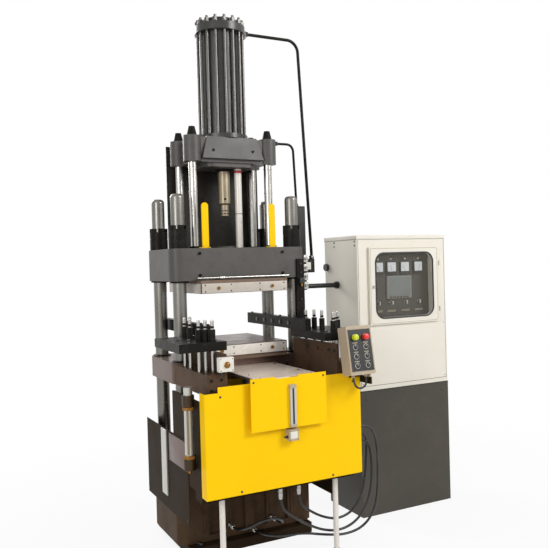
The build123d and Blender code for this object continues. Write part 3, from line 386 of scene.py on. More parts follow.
SIDE_END = 0.452
CROSSHEAD_END = -0.2625
BAR_END = 0.355
HOSE_DIAMETER = 0.013
CABLE_DIAMETER = 0.010

HOSE_LEFT = [
    (0.010, -0.575, BAR_END), (0.010, -0.575, 0.285), (0.075, -0.574, 0.232), (0.160, -0.570, 0.172),
    (0.255, -0.566, 0.122), (0.360, -0.562, 0.098), (0.460, -0.560, 0.122), (0.530, -0.560, 0.190),
    (0.565, -0.560, 0.285), (0.574, -0.560, 0.390), (0.568, -0.560, 0.512), (0.519, -0.560, 0.560),
    (SIDE_END, -0.560, 0.560)]
HOSE_MIDDLE = [
    (0.125, -0.555, BAR_END), (0.125, -0.555, 0.285), (0.185, -0.550, 0.232), (0.270, -0.540, 0.180),
    (0.365, -0.532, 0.148), (0.455, -0.528, 0.165), (0.515, -0.527, 0.225), (0.545, -0.528, 0.310),
    (0.556, -0.529, 0.400), (0.562, -0.530, 0.470), (0.566, -0.530, 0.552), (0.518, -0.530, 0.600),
    (SIDE_END, -0.530, 0.600)]
HOSE_RIGHT = [
    (SIDE_END, -0.600, 0.640), (0.520, -0.600, 0.640), (0.572, -0.599, 0.588), (0.590, -0.592, 0.490),
    (0.598, -0.580, 0.380), (0.603, -0.566, 0.265), (0.585, -0.556, 0.155), (0.515, -0.550, 0.082),
    (0.405, -0.545, 0.062), (0.285, -0.536, 0.082), (0.165, -0.515, 0.110), (0.060, -0.450, 0.088),
    (0.0, -0.335, 0.080), (0.0, CROSSHEAD_END, 0.080)]
HOSE_ARCH = [
    (-0.125, CROSSHEAD_END, 0.120), (-0.125, -0.335, 0.120), (-0.100, -0.420, 0.155),
    (-0.040, -0.470, 0.198), (0.035, -0.475, 0.200), (0.100, -0.430, 0.155), (0.125, -0.345, 0.115),
    (0.125, CROSSHEAD_END, 0.115)]
PENDANT_CABLE = [
    (0.338, -0.7611, 0.9260), (0.338, -0.7666, 0.8950), (0.3603, -0.7675, 0.8727),
    (0.3917, -0.7675, 0.8727), (0.414, -0.7666, 0.8950), (0.414, -0.7611, 0.9260)]


def cord(name, node, points, diameter):
    """Smooth curve over the route of a hose or cable, which replaces its solid."""
    curve = bpy.data.curves.new(name, "CURVE")
    curve.dimensions = "3D"
    spline = curve.splines.new("NURBS")
    spline.points.add(len(points) - 1)
    for point, place in zip(spline.points, points):
        point.co = (place[0], place[1], place[2], 1.0)
    spline.order_u = 3
    spline.use_endpoint_u = True
    spline.resolution_u = 12
    curve.bevel_depth = diameter / 2
    curve.bevel_resolution = 5
    curve.use_fill_caps = True
    curve.materials.append(RUBBER)
    made = bpy.data.objects.new(name, curve)
    bpy.context.scene.collection.objects.link(made)
    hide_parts(node)
    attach(made, "press_frame")


def crimp(bm, end, outward):
    """Crimped ferrule and union nut at one end of a hose."""
    away = Vector(outward)
    turned(bm, nut(0.0125, 0.011, 0.0115, 0.001), Vector(end) - away * 0.034, outward, HEX)
    turned(bm, [(0.0112, 0.0), (0.0118, 0.002), (0.0118, 0.005), (0.0108, 0.006), (0.0118, 0.007),
                (0.0118, 0.011), (0.0108, 0.012), (0.0118, 0.013), (0.0118, 0.030), (0.0105, 0.031),
                (0.0105, 0.042), (0.0085, 0.044)],
           Vector(end) - away * 0.018, outward)


def make_cords():
    """The four hoses with their crimped ends, and the pendant's cable."""
    cord("hydraulic_hose_left", "hose_left", HOSE_LEFT, HOSE_DIAMETER)
    cord("hydraulic_hose_middle", "hose_middle", HOSE_MIDDLE, HOSE_DIAMETER)
    cord("hydraulic_hose_right", "hose_right", HOSE_RIGHT, HOSE_DIAMETER)
    cord("hydraulic_hose_arch", "hose_arch", HOSE_ARCH, HOSE_DIAMETER)
    cord("pendant_cable_loop", "pendant_cable", PENDANT_CABLE, CABLE_DIAMETER)
    bm = bmesh.new()
    for end in (HOSE_LEFT[0], HOSE_MIDDLE[0]):
        crimp(bm, end, DOWN)
    for end in (HOSE_LEFT[-1], HOSE_MIDDLE[-1], HOSE_RIGHT[0]):
        crimp(bm, end, RIGHT)
    for end in (HOSE_RIGHT[-1], HOSE_ARCH[0], HOSE_ARCH[-1]):
        crimp(bm, end, FRONT)
    piece("hose_crimps", bm, CHROME, PRESS)


# Pendant

PENDANT_CENTRE = Vector((0.376, -0.738, 1.057))
PENDANT_TILT = radians(-10)
PENDANT_FACE = -0.041         # front of its panel, before the tilt
SELECTORS = [(x, z) for x in (-0.031, 0.031) for z in (0.016, -0.030, -0.076)]


def pendant_frame():
    """Where the pendant stands, and its tilt."""
    return Matrix.Translation(PENDANT_CENTRE) @ Matrix.Rotation(PENDANT_TILT, 4, "X")


def on_pendant(x, z):
    """A place on the pendant's panel."""
    return pendant_frame() @ Vector((x, PENDANT_FACE, z))


def make_pendant():
    """Buttons, selector switches, screws and the rim of the pendant."""
    out = pendant_frame().to_3x3() @ Vector(FRONT)
    mushroom = [(0.0145, 0.0), (0.0145, 0.003), (0.0100, 0.004), (0.0100, 0.010), (0.0135, 0.012),
                (0.0155, 0.016), (0.0145, 0.020), (0.0100, 0.0225), (0.0010, 0.0235)]
    turnings("start_button", mushroom, [on_pendant(-0.031, 0.064)], out, GREEN_BUTTON, PRESS)
    turnings("stop_button", mushroom, [on_pendant(0.031, 0.064)], out, RED_BUTTON, PRESS)
    places = [on_pendant(x, z) for x, z in SELECTORS]
    collar = [(0.0150, 0.0), (0.0150, 0.0014), (0.0138, 0.0024), (0.0120, 0.0024)]
    turnings("selector_collars", collar, places, out, CHROME, PRESS)
    knob = [(0.0118, 0.0), (0.0118, 0.0034), (0.0108, 0.0042), (0.0010, 0.0042)]
    turnings("selector_knobs", knob, places, out, BLACK_PLASTIC, PRESS)
    grips = bmesh.new()
    pointers = bmesh.new()
    for index, place in enumerate(places):
        swing = Matrix.Rotation(radians(28 if index % 2 else -20), 4, "Y")
        where = Matrix.Translation(place) @ pendant_frame().to_3x3().to_4x4() @ swing
        slab(grips, (-0.0035, -0.0062, -0.0108), (0.0035, -0.0010, 0.0108), 0.0014, where)
        slab(pointers, (-0.0008, -0.0066, 0.0010), (0.0008, -0.0056, 0.0096), 0.0003, where)
    piece("selector_grips", grips, BLACK_PLASTIC, PRESS)
    piece("selector_pointers", pointers, WHITE_PLASTIC, PRESS)
    corners = [on_pendant(x, z) for x in (-0.059, 0.059) for z in (-0.096, 0.096)]
    turnings("pendant_screws", button_screw(0.0035), corners, out, STUD_STEEL, PRESS)
    y_front, y_back = PENDANT_FACE + 0.001, PENDANT_FACE + 0.0035
    bars = [((-0.067, y_front, -0.1045), (-0.0635, y_back, 0.1045)),
            ((0.0635, y_front, -0.1045), (0.067, y_back, 0.1045)),
            ((-0.067, y_front, -0.1060), (0.067, y_back, -0.1020)),
            ((-0.067, y_front, 0.1020), (0.067, y_back, 0.1060))]
    slabs("pendant_rim", bars, GREY_PLASTIC, PRESS, 0.0012, pendant_frame())
    fields = [((x - 0.014, PENDANT_FACE - 0.0006, z + 0.018),
               (x + 0.014, PENDANT_FACE + 0.0004, z + 0.0235)) for x, z in SELECTORS]
    slabs("pendant_fields", fields, PALE_STRIP, PRESS, 0.0003, pendant_frame())


# Press: faces and places that its pieces share (metres)

HOT_COVERS = {                # half width, low and high edge of the sheet
    "upper_hot_plate": (0.254, 1.357, 1.408),
    "lower_hot_plate": (0.240, 1.022, 1.076),
}
SIDES = (-1, 1)               # left and right
TIE_BARS = [(side * 0.340, y) for side in SIDES for y in (-0.1625, 0.1625)]
COLUMN_X, COLUMN_Y = 0.2265, 0.107
GAUGE_ROD = (0.072, -0.034)
PIN_PLACES = [                # distance from the middle and towards the front, for both sides
    (0.336, 0.590), (0.362, 0.566), (0.388, 0.548), (0.379, 0.406), (0.378, 0.326), (0.340, 0.300)]
PIN_TOP = 1.240
VALVE_LEVELS = (1.350, 1.402, 1.454, 1.506)
CONDUIT_Y, CONDUIT_Z = -0.050, 1.363
LEVEL_X, LEVEL_Y = -0.455, -0.560
HOT_FRONT = -0.2570           # fronts of the sheets, platens and boxes
PLATEN_FRONT = -0.2205
BEAM_FRONT = -0.1435
LIFT_BASE_FRONT = -0.672
LIMIT_FACE = -0.7035
GUARD_FACE = -0.690
PLATE_FACE = -0.719
READER_FACE = -0.730
SIDE_FACE = -0.4245           # outer face of the left side panel
WALL_FACE = 0.300             # inner face of the walls beside the mould


def make_hot_covers():
    """Pale sheets on the front and sides of the hot plates, with their screws."""
    for node, (half, low, high) in HOT_COVERS.items():
        body = PLATEN if node == "lower_hot_plate" else PRESS
        front = ((-half + 0.004, HOT_FRONT, low), (half - 0.004, -0.2545, high))
        sides = [((side * half - 0.0012, -0.245, low), (side * half + 0.0018, 0.245, high))
                 for side in SIDES]
        # The lower plate gets the lighter copy of the sheet, a painted highlight.
        sheet = PAINTED_LIGHT_COVER if node == "lower_hot_plate" else PLATE_COVER
        slabs(node + "_covers", [front] + sides, sheet, body, 0.0009)
        middle = (low + high) / 2
        places = [(x, HOT_FRONT, z) for x in (-half + 0.022, -half / 3, half / 3, half - 0.022)
                  for z in (middle - 0.017, middle + 0.017)]
        turnings(node + "_screws", button_screw(0.004), places, FRONT, STUD_STEEL, body)
        ports = [(x, -0.2575, middle) for x in (-half * 0.62, half * 0.62)]
        turnings(node + "_heater_ports", [(0.009, 0.0), (0.009, 0.005), (0.0075, 0.006), (0.0065, 0.006),
                                           (0.0060, 0.001), (0.0005, 0.001)],
                 ports, FRONT, BRASS, body)


def make_columns():
    """Clips and foot rings of the columns, and the bands of the gauge rod."""
    clip = [(0.0228, 0.0), (0.0246, 0.001), (0.0246, 0.005), (0.0228, 0.006)]
    places = [(x, -COLUMN_Y, z) for x in (-COLUMN_X, COLUMN_X) for z in (1.900, 2.035)]
    turnings("column_clips", clip, places, UP, CHROME, PRESS)
    foot = [(0.0330, 0.0), (0.0330, 0.010), (0.0300, 0.013), (0.0230, 0.013)]
    feet = [(x, y, 1.595) for x in (-COLUMN_X, COLUMN_X) for y in (-COLUMN_Y, COLUMN_Y)]
    turnings("column_foot_rings", foot, feet, UP, BLACK_STEEL, PRESS)
    band = [(0.0202, 0.0), (0.0212, 0.001), (0.0212, 0.014), (0.0202, 0.015)]
    turnings("gauge_rod_top", band, [(*GAUGE_ROD, 2.020)], UP, RED_BAND, PRESS)
    joint = [(0.0202, 0.0), (0.0209, 0.0008), (0.0209, 0.0032), (0.0202, 0.004)]
    turnings("gauge_rod_joint", joint, [(*GAUGE_ROD, 1.788)], UP, STUD_STEEL, PRESS)


def make_plunger():
    """Coupling, hole, shoulder and rings of the injection plunger."""
    collar = [(0.0300, 0.0), (0.0360, 0.002), (0.0400, 0.006), (0.0400, 0.030), (0.0370, 0.033),
              (0.0370, 0.048), (0.0300, 0.052)]
    turnings("plunger_coupling", collar, [(0, 0, 2.028)], UP, BLACK_STEEL, PLUNGER)
    hole = [(0.0065, 0.0), (0.0065, 0.0012), (0.0050, 0.0014), (0.0045, 0.0004), (0.0004, 0.0004)]
    turnings("plunger_hole", hole, [(-0.009, -0.0328, 1.874)], (-0.26, -0.96, 0), BLACK_STEEL,
             PLUNGER)
    step = [(0.0228, 0.0), (0.0262, 0.002), (0.0340, 0.010), (0.0342, 0.014)]
    turnings("plunger_shoulder", step, [(0, 0, 1.841)], UP, BRONZE, PLUNGER)
    ring = [(0.0224, 0.0), (0.0229, 0.0006), (0.0229, 0.0054), (0.0224, 0.006)]
    turnings("plunger_rings", ring, [(0, 0, 1.790), (0, 0, 1.806)], UP, STUD_STEEL, PLUNGER)


def make_beam():
    """Screws of the casting, plug and washers of the head, and the unions of the steel pipes."""
    places = [(x, BEAM_FRONT, 2.128) for x in (-0.118, 0.118)]
    turnings("beam_screws", cap_screw(0.007), places, FRONT, BLACK_STEEL, PRESS)
    hub = [(0.0560, 0.0), (0.0560, 0.006), (0.0530, 0.010), (0.0180, 0.010), (0.0150, 0.022),
           (0.0130, 0.024), (0.0010, 0.024)]
    turnings("head_plug", hub, [(0, 0, 2.873 - 0.024)], UP, STUD_STEEL, PRESS)
    turnings("stud_washers", nut(0.0150, 0.002, 0.0140, 0.0008), around(16, 0.127, 2.841), UP,
             STUD_STEEL, PRESS)
    turnings("pipe_unions", nut(0.0150, 0.016, 0.0138, 0.002), [(0.157, 0, 2.828)], RIGHT,
             STUD_STEEL, PRESS, HEX)
    turnings("pipe_foot_nuts", nut(0.0170, 0.018, 0.0150, 0.003), [(0.562, 0, 1.524)], UP,
             STUD_STEEL, PRESS, HEX)
    turnings("feed_pipe_nuts", nut(0.0135, 0.014, 0.0120, 0.002), [(0.276, -COLUMN_Y, 2.188)], RIGHT,
             STUD_STEEL, PRESS, HEX)
    turnings("feed_pipe_foot", nut(0.0140, 0.014, 0.0120, 0.002), [(0.4355, -0.055, 1.835)], UP,
             STUD_STEEL, PRESS, HEX)


def make_platens():
    """Screws of the platens and stop bars, the cover over the arms, and rings round the tie bars."""
    places = [(x, PLATEN_FRONT, z) for x in (-0.245, 0.245) for z in (1.452, 1.567)]
    turnings("platen_screws", cap_screw(0.008), places, FRONT, BLACK_STEEL, PRESS)
    feet = [(side * 0.199 + dx, -0.204, 1.601) for side in SIDES for dx in (-0.0205, 0.0205)]
    turnings("stop_bar_screws", cap_screw(0.0032), feet, UP, STUD_STEEL, PRESS)
    slabs("arm_cover", [((-0.170, -0.712, 0.9585), (0.170, -0.224, 0.9610))], ARM_SHEET, PLATEN,
          0.0008)
    screws = [(x, y, 0.961) for x in (-0.138, 0.138) for y in (-0.690, -0.560, -0.300)]
    turnings("arm_screws", button_screw(0.0055), screws, UP, STUD_STEEL, PLATEN)
    clamps = [(x, PLATEN_FRONT, 0.945) for x in (-0.250, -0.215, 0.215, 0.250)]
    turnings("platen_front_screws", cap_screw(0.0065), clamps, FRONT, STUD_STEEL, PLATEN)
    shoulders = [(x, y, 1.4235) for x, y in TIE_BARS]
    bush = [(0.0480, 0.0), (0.0500, 0.002), (0.0500, 0.009), (0.0370, 0.010)]
    turnings("tie_bar_shoulders", bush, shoulders, DOWN, BLACK_STEEL, PRESS)
    seals = [(x, y, 1.0005) for x, y in TIE_BARS]
    turnings("platen_wipers", [(0.0500, 0.0), (0.0500, 0.005), (0.0440, 0.008), (0.0375, 0.008)],
             seals, UP, BLACK_STEEL, PLATEN)


def make_lifts():
    """Fastenings of the mould lift: on the walls, the plates, the rails and the pins."""
    for side, name, inward in ((1, "right", LEFT), (-1, "left", RIGHT)):
        wall = [(side * WALL_FACE, y, 1.054) for y in (-0.380, -0.490, -0.600, -0.655)]
        turnings(name + "_wall_screws", cap_screw(0.0065), wall, inward, STUD_STEEL, PLATEN)
    strips = [((side * 0.307 - 0.0072, -0.668, 1.0865), (side * 0.307 + 0.0072, -0.224, 1.0895))
              for side in SIDES]
    slabs("wall_edge_strips", strips, TOOL_STEEL, PLATEN, 0.001)
    block_screws = [(side * x, LIFT_BASE_FRONT, z) for side in SIDES for x in (0.330, 0.380)
                    for z in (0.925, 0.972)]
    turnings("lift_base_screws", cap_screw(0.0065), block_screws, FRONT, BLACK_STEEL, PLATEN)
    for side, name, inward in ((-1, "left", RIGHT), (1, "right", LEFT)):
        body = name + "_mould_lift"
        pins = [(side * x, -y, PIN_TOP) for x, y in PIN_PLACES]
        turnings(name + "_pin_nuts", nut(0.0105, 0.009, 0.0090, 0.002),
                 [(side * x, -y, 1.206) for x, y in PIN_PLACES], UP, BLACK_STEEL, body, HEX)
        turnings(name + "_pin_tips", [(0.0086, 0.0), (0.0080, 0.003), (0.0048, 0.0045), (0.0040, 0.0015),
                                      (0.0004, 0.0015)], pins, UP, CHROME, body)
        plate = [(side * x, -y, 1.142) for x, y in ((0.455, 0.590), (0.455, 0.430), (0.455, 0.270),
                                                    (0.310, 0.560), (0.410, 0.470))]
        turnings(name + "_plate_screws", cap_screw(0.0075), plate, UP, STUD_STEEL, body)
        rail = [(side * 0.279, y, 1.204) for y in (-0.395, -0.300, -0.110, 0.080, 0.260)]
        turnings(name + "_rail_screws", cap_screw(0.006), rail, UP, BLACK_STEEL, body)
        roller = [(0.0110, 0.0), (0.0120, 0.0008), (0.0120, 0.0035), (0.0060, 0.0042)]
        rollers = [(side * 0.262, y, 1.172) for y in (-0.240, -0.140, -0.040, 0.060, 0.160)]
        turnings(name + "_rail_rollers", roller, rollers, inward, STUD_STEEL, body)


def make_limit_box():
    """Pale box with a brass key switch on the end of the left wall."""
    slabs("limit_box", [((-0.352, -0.7005, 1.010), (-0.276, -0.6725, 1.078))], WHITE_PLASTIC,
          PLATEN, 0.004)
    slabs("limit_box_lid", [((-0.3495, LIMIT_FACE, 1.0125), (-0.2785, -0.6995, 1.0755))], WHITE_PLASTIC,
          PLATEN, 0.0018)
    turnings("limit_box_key", [(0.0150, 0.0), (0.0150, 0.003), (0.0125, 0.005), (0.0110, 0.005),
                               (0.0100, 0.011), (0.0080, 0.012), (0.0006, 0.012)],
             [(-0.313, LIMIT_FACE, 1.043)], FRONT, BRASS, PLATEN)
    corners = [(x, LIMIT_FACE, z) for x in (-0.3435, -0.2845) for z in (1.018, 1.070)]
    turnings("limit_box_screws", button_screw(0.0026), corners, FRONT, STUD_STEEL, PLATEN)
    gland = [(0.0090, 0.0), (0.0090, 0.007), (0.0075, 0.010), (0.0070, 0.016), (0.0060, 0.018)]
    turnings("limit_box_gland", gland, [(-0.335, -0.6865, 1.011)], DOWN, BLACK_PLASTIC,
             PLATEN, HEX)


def make_duct():
    """Duct lid, valves, manifold and proximity switch, and the nuts and ribs of the conduit."""
    slabs("duct_lid", [((0.4015, -0.0925, 1.352), (0.4695, -0.0895, 1.827))], BLACK_PAINT, PRESS,
          0.0012)
    screws = [(x, -0.0925, z) for x in (0.408, 0.463) for z in (1.362, 1.590, 1.817)]
    turnings("duct_screws", button_screw(0.004), screws, FRONT, STUD_STEEL, PRESS)
    bodies = [((0.440, -0.1180, z), (0.468, -0.0920, z + 0.042)) for z in VALVE_LEVELS]
    slabs("valve_bodies", bodies, ALUMINIUM, PRESS, 0.003)
    ends = [(0.454, -0.118, z + 0.021) for z in VALVE_LEVELS]
    turnings("valve_caps", [(0.0090, 0.0), (0.0090, 0.007), (0.0080, 0.009), (0.0040, 0.009),
                            (0.0036, 0.005), (0.0004, 0.005)], ends, FRONT, CHROME, PRESS)
    plugs = [(0.541, -0.015, z) for z in (1.464, 1.504)]
    turnings("manifold_plugs", [(0.0130, 0.0), (0.0130, 0.009), (0.0115, 0.011), (0.0060, 0.011),
                                (0.0055, 0.004), (0.0005, 0.004)], plugs, FRONT, STUD_STEEL,
             PRESS, HEX)
    slabs("manifold_valve", [((0.487, -0.060, 1.462), (0.523, -0.0145, 1.506))], WHITE_PLASTIC,
          PRESS, 0.004)
    coil = [(0.0140, 0.0), (0.0140, 0.020), (0.0120, 0.022), (0.0080, 0.022), (0.0075, 0.030),
            (0.0010, 0.031)]
    turnings("manifold_coil", coil, [(0.505, -0.037, 1.505)], UP, BLACK_PLASTIC, PRESS)
    bar_screws = [(0.353, -0.2325, z) for z in (1.190, 1.300, 1.450, 1.500)]
    turnings("switch_bar_screws", cap_screw(0.006), bar_screws, FRONT, STUD_STEEL, PRESS)
    slabs("proximity_block", [((0.338, -0.2525, 1.388), (0.368, -0.2320, 1.420))], BLACK_PLASTIC,
          PRESS, 0.003)
    turnings("proximity_sensor", nut(0.0060, 0.016, 0.0045, 0.002), [(0.353, -0.2425, 1.389)], DOWN,
             BRASS, PRESS)
    rings = [(x, CONDUIT_Y, CONDUIT_Z) for x in (0.489, 0.686)]
    turnings("conduit_nuts", nut(0.0185, 0.007, 0.0165, 0.002), rings, RIGHT, STUD_STEEL, PRESS, HEX)
    ribs = bmesh.new()
    for i in range(26):
        turned(ribs, [(0.0130, 0.0), (0.0142, 0.0015), (0.0142, 0.0035), (0.0130, 0.005)],
               (0.500 + i * 0.007, CONDUIT_Y, CONDUIT_Z), RIGHT, 28)
    piece("conduit_ribs", ribs, BLACK_PLASTIC, PRESS)


def make_guard():
    """Screws, lower hem and the scale's fittings on the yellow guard."""
    guard = [(x, GUARD_FACE, z) for x, z in ((-0.346, 0.896), (-0.250, 0.443), (0.249, 0.441),
                                             (0.380, 0.896))]
    turnings("guard_screws", button_screw(0.0055), guard, FRONT, STUD_STEEL, PRESS)
    plate = [(x, PLATE_FACE, 0.950) for x in (-0.189, 0.189)]
    turnings("plate_screws", button_screw(0.0050), plate, FRONT, STUD_STEEL, PLATEN)
    groove = [((0.0085, -0.7345, 0.735), (0.0175, -0.7325, 0.908))]
    slabs("scale_groove", groove, BLACK_PLASTIC, PLATEN, 0.0008)
    ends = [((-0.0045, -0.7350, 0.906), (0.0305, -0.7190, 0.924)),
            ((-0.0045, -0.7350, 0.719), (0.0305, -0.7190, 0.733))]
    slabs("scale_ends", ends, GREY_PLASTIC, PLATEN, 0.0025)
    slabs("reader_window", [((-0.0060, -0.7320, 0.664), (0.0320, -0.7295, 0.698))], WHITE_PLASTIC,
          PRESS, 0.0012)
    eyes = [(x, READER_FACE, z) for x in (-0.0085, 0.0345) for z in (0.659, 0.703)]
    turnings("reader_screws", button_screw(0.0026), eyes, FRONT, STUD_STEEL, PRESS)
    gland = [(0.0070, 0.0), (0.0070, 0.006), (0.0050, 0.009), (0.0040, 0.018), (0.0030, 0.020)]
    turnings("reader_gland", gland, [(-0.012, -0.712, 0.672)], LEFT, BLACK_PLASTIC, PRESS)
    hem = [((-0.424, GUARD_FACE, 0.4285), (0.424, -0.6860, 0.4330))]
    slabs("guard_hem", hem, YELLOW_PAINT, PRESS, 0.0018)


def make_sides():
    """Fittings of the level tube, the side panels, the crosshead and the base plate, and a painted
    highlight on the left side panel.
    """
    ends = [(LEVEL_X, LEVEL_Y, z) for z in (0.600, 0.829)]
    turnings("level_nuts", nut(0.0300, 0.014, 0.0270, 0.003), ends, UP, BRASS, PRESS, HEX)
    tip = [(0.0120, 0.0), (0.0120, 0.010), (0.0085, 0.014), (0.0085, 0.026), (0.0065, 0.030)]
    turnings("level_lower_tip", tip, [(LEVEL_X, LEVEL_Y, 0.560)], DOWN, BRASS, PRESS)
    strip = [((-0.4730, -0.5840, 0.622), (-0.4630, -0.5770, 0.826))]
    slabs("level_scale", strip, PALE_STRIP, PRESS, 0.001)
    slabs("side_field", [((-0.4275, -0.440, 0.500), (SIDE_FACE, -0.175, 0.640))], TOOL_STEEL,
          PRESS, 0.0012)
    # Bright strip on the left side panel: a painted highlight, the shine of the tie bar behind the panel.
    slabs("tie_bar_highlight_strip", [((-0.4330, -0.140, 0.300), (SIDE_FACE, -0.060, 0.646))], ALUMINIUM,
          PRESS, 0.0015)
    for side, name, outward in ((-1, "left", LEFT), (1, "right", RIGHT)):
        screws = [(side * 0.425, y, z) for y in (-0.425, 0.190) for z in (0.255, 0.625)]
        turnings(name + "_panel_screws", button_screw(0.0055), screws, outward, STUD_STEEL, PRESS)
    hex_bolt("bracket_bolts", 0.008, [(0.435, -0.600, 0.845), (0.435, -0.578, 0.900)], RIGHT, STUD_STEEL,
             PRESS)
    bands = [((side * x - 0.008, -0.2245, 0.090), (side * x + 0.008, -0.2195, 0.340))
             for side in SIDES for x in (0.130, 0.260)]
    slabs("crosshead_weld_strips", bands, CROSSHEAD_PAINT, PRESS, 0.002)
    bolts = [(side * 0.300, side_y * 0.252, 0.050) for side in SIDES for side_y in SIDES]
    hex_bolt("anchor_bolts", 0.015, bolts, UP, STUD_STEEL, PRESS)
    turnings("clamp_flange_screws", cap_screw(0.010), around(12, 0.203, 0.4075), UP, STUD_STEEL, PRESS)
    pads = [(side * 0.315, -0.600, 0.012) for side in SIDES]
    turnings("leg_lock_nuts", nut(0.0210, 0.012, 0.0185, 0.003), pads, UP, STUD_STEEL, PRESS, HEX)


# Control cabinet

CABINET_FACE = -0.263
DOOR_FACE = -0.2793
PANEL_FACE = -0.211
METERS = [(0.875, 0.924), (0.959, 1.020), (1.060, 1.119), (1.163, 1.220)]
NEEDLE_LEANS = (-38, -20, -30, 14)
SWITCHES = [0.896, 0.992, 1.098, 1.199]


def rounded_outline(x0, x1, z0, z1, radius, steps=10):
    """Points round a rectangle with round corners, in the plane of the door."""
    points = []
    for x, z, start in ((x1 - radius, z0 + radius, -90), (x1 - radius, z1 - radius, 0),
                        (x0 + radius, z1 - radius, 90), (x0 + radius, z0 + radius, 180)):
        for i in range(steps + 1):
            angle = radians(start + 90 * i / steps)
            points.append((x + radius * cos(angle), z + radius * sin(angle)))
    return points


def gasket(name, x0, x1, z0, z1, radius, width, y_back, y_front, material, body):
    """Band with a rounded section around the window."""
    bm = bmesh.new()
    rings = []
    third = width / 3
    for grow, y in ((0.0, y_back), (0.0, y_front), (third, y_front - third / 2),
                    (2 * third, y_front - third / 2), (width, y_front), (width, y_back)):
        outline = rounded_outline(x0 - grow, x1 + grow, z0 - grow, z1 + grow, radius + grow)
        rings.append([bm.verts.new((x, y, z)) for x, z in outline])
    count = len(rings[0])
    for first, second in zip(rings, rings[1:] + rings[:1]):
        for i in range(count):
            j = (i + 1) % count
            bm.faces.new((first[i], first[j], second[j], second[i]))
    bmesh.ops.recalc_face_normals(bm, faces=bm.faces)
    return piece(name, bm, material, body)


def make_cabinet():
    """Gasket and lock of the window, seams, lid and screws of the cabinet."""
    gasket("window_gasket", 0.838, 1.254, 1.167, 1.543, 0.052, 0.010, DOOR_FACE + 0.002,
           DOOR_FACE - 0.0015, BLACK_PLASTIC, DOOR)
    gasket("door_edge", 0.797, 1.292, 1.132, 1.574, 0.012, 0.0022, DOOR_FACE + 0.001,
           DOOR_FACE - 0.0004, PALE_STRIP, DOOR)
    lock = [(0.0095, 0.0), (0.0095, 0.003), (0.0080, 0.005), (0.0040, 0.005), (0.0035, 0.003),
            (0.0004, 0.003)]
    turnings("door_lock", lock, [(0.815, DOOR_FACE, 1.349)], FRONT, CHROME, DOOR)
    seams = [((0.722, -0.2636, 0.7662), (1.361, -0.2625, 0.7684)),
             ((0.722, -0.2636, 1.6290), (1.361, -0.2625, 1.6312)),
             ((0.7208, -0.2636, 0.767), (0.7230, -0.2625, 1.630)),
             ((1.3598, -0.2636, 0.767), (1.3620, -0.2625, 1.630))]
    slabs("cabinet_seams", seams, BASE_PAINT, PRESS, 0.0004)
    slabs("cabinet_side_seam", [((0.7122, -0.262, 1.6290), (0.7135, 0.095, 1.6312))], BASE_PAINT,
          PRESS, 0.0004)
    side = [(0.713, y, z) for y in (-0.240, -0.019) for z in (1.595, 1.619)]
    turnings("cabinet_side_screws", button_screw(0.0055), side, LEFT, STUD_STEEL, PRESS)
    corners = [(x, CABINET_FACE, z) for x in (0.735, 1.349) for z in (0.785, 1.110)]
    turnings("sheet_screws", button_screw(0.0050), corners, FRONT, CHROME, PRESS)
    lid = [((0.7115, -0.2645, 1.6325), (1.3725, 0.0975, 1.6535))]
    slabs("cabinet_lid", lid, BEIGE_PAINT, PRESS, 0.003)
    base = [((0.7122, -0.2640, 0.7370), (1.3728, -0.2620, 0.7420))]
    slabs("base_top_edge", base, BLACK_PAINT, PRESS, 0.0008)
    knobs = [(x, CABINET_FACE, 0.690) for x in (0.760, 1.325)]
    turnings("base_screws", button_screw(0.0060), knobs, FRONT, STUD_STEEL, PRESS)


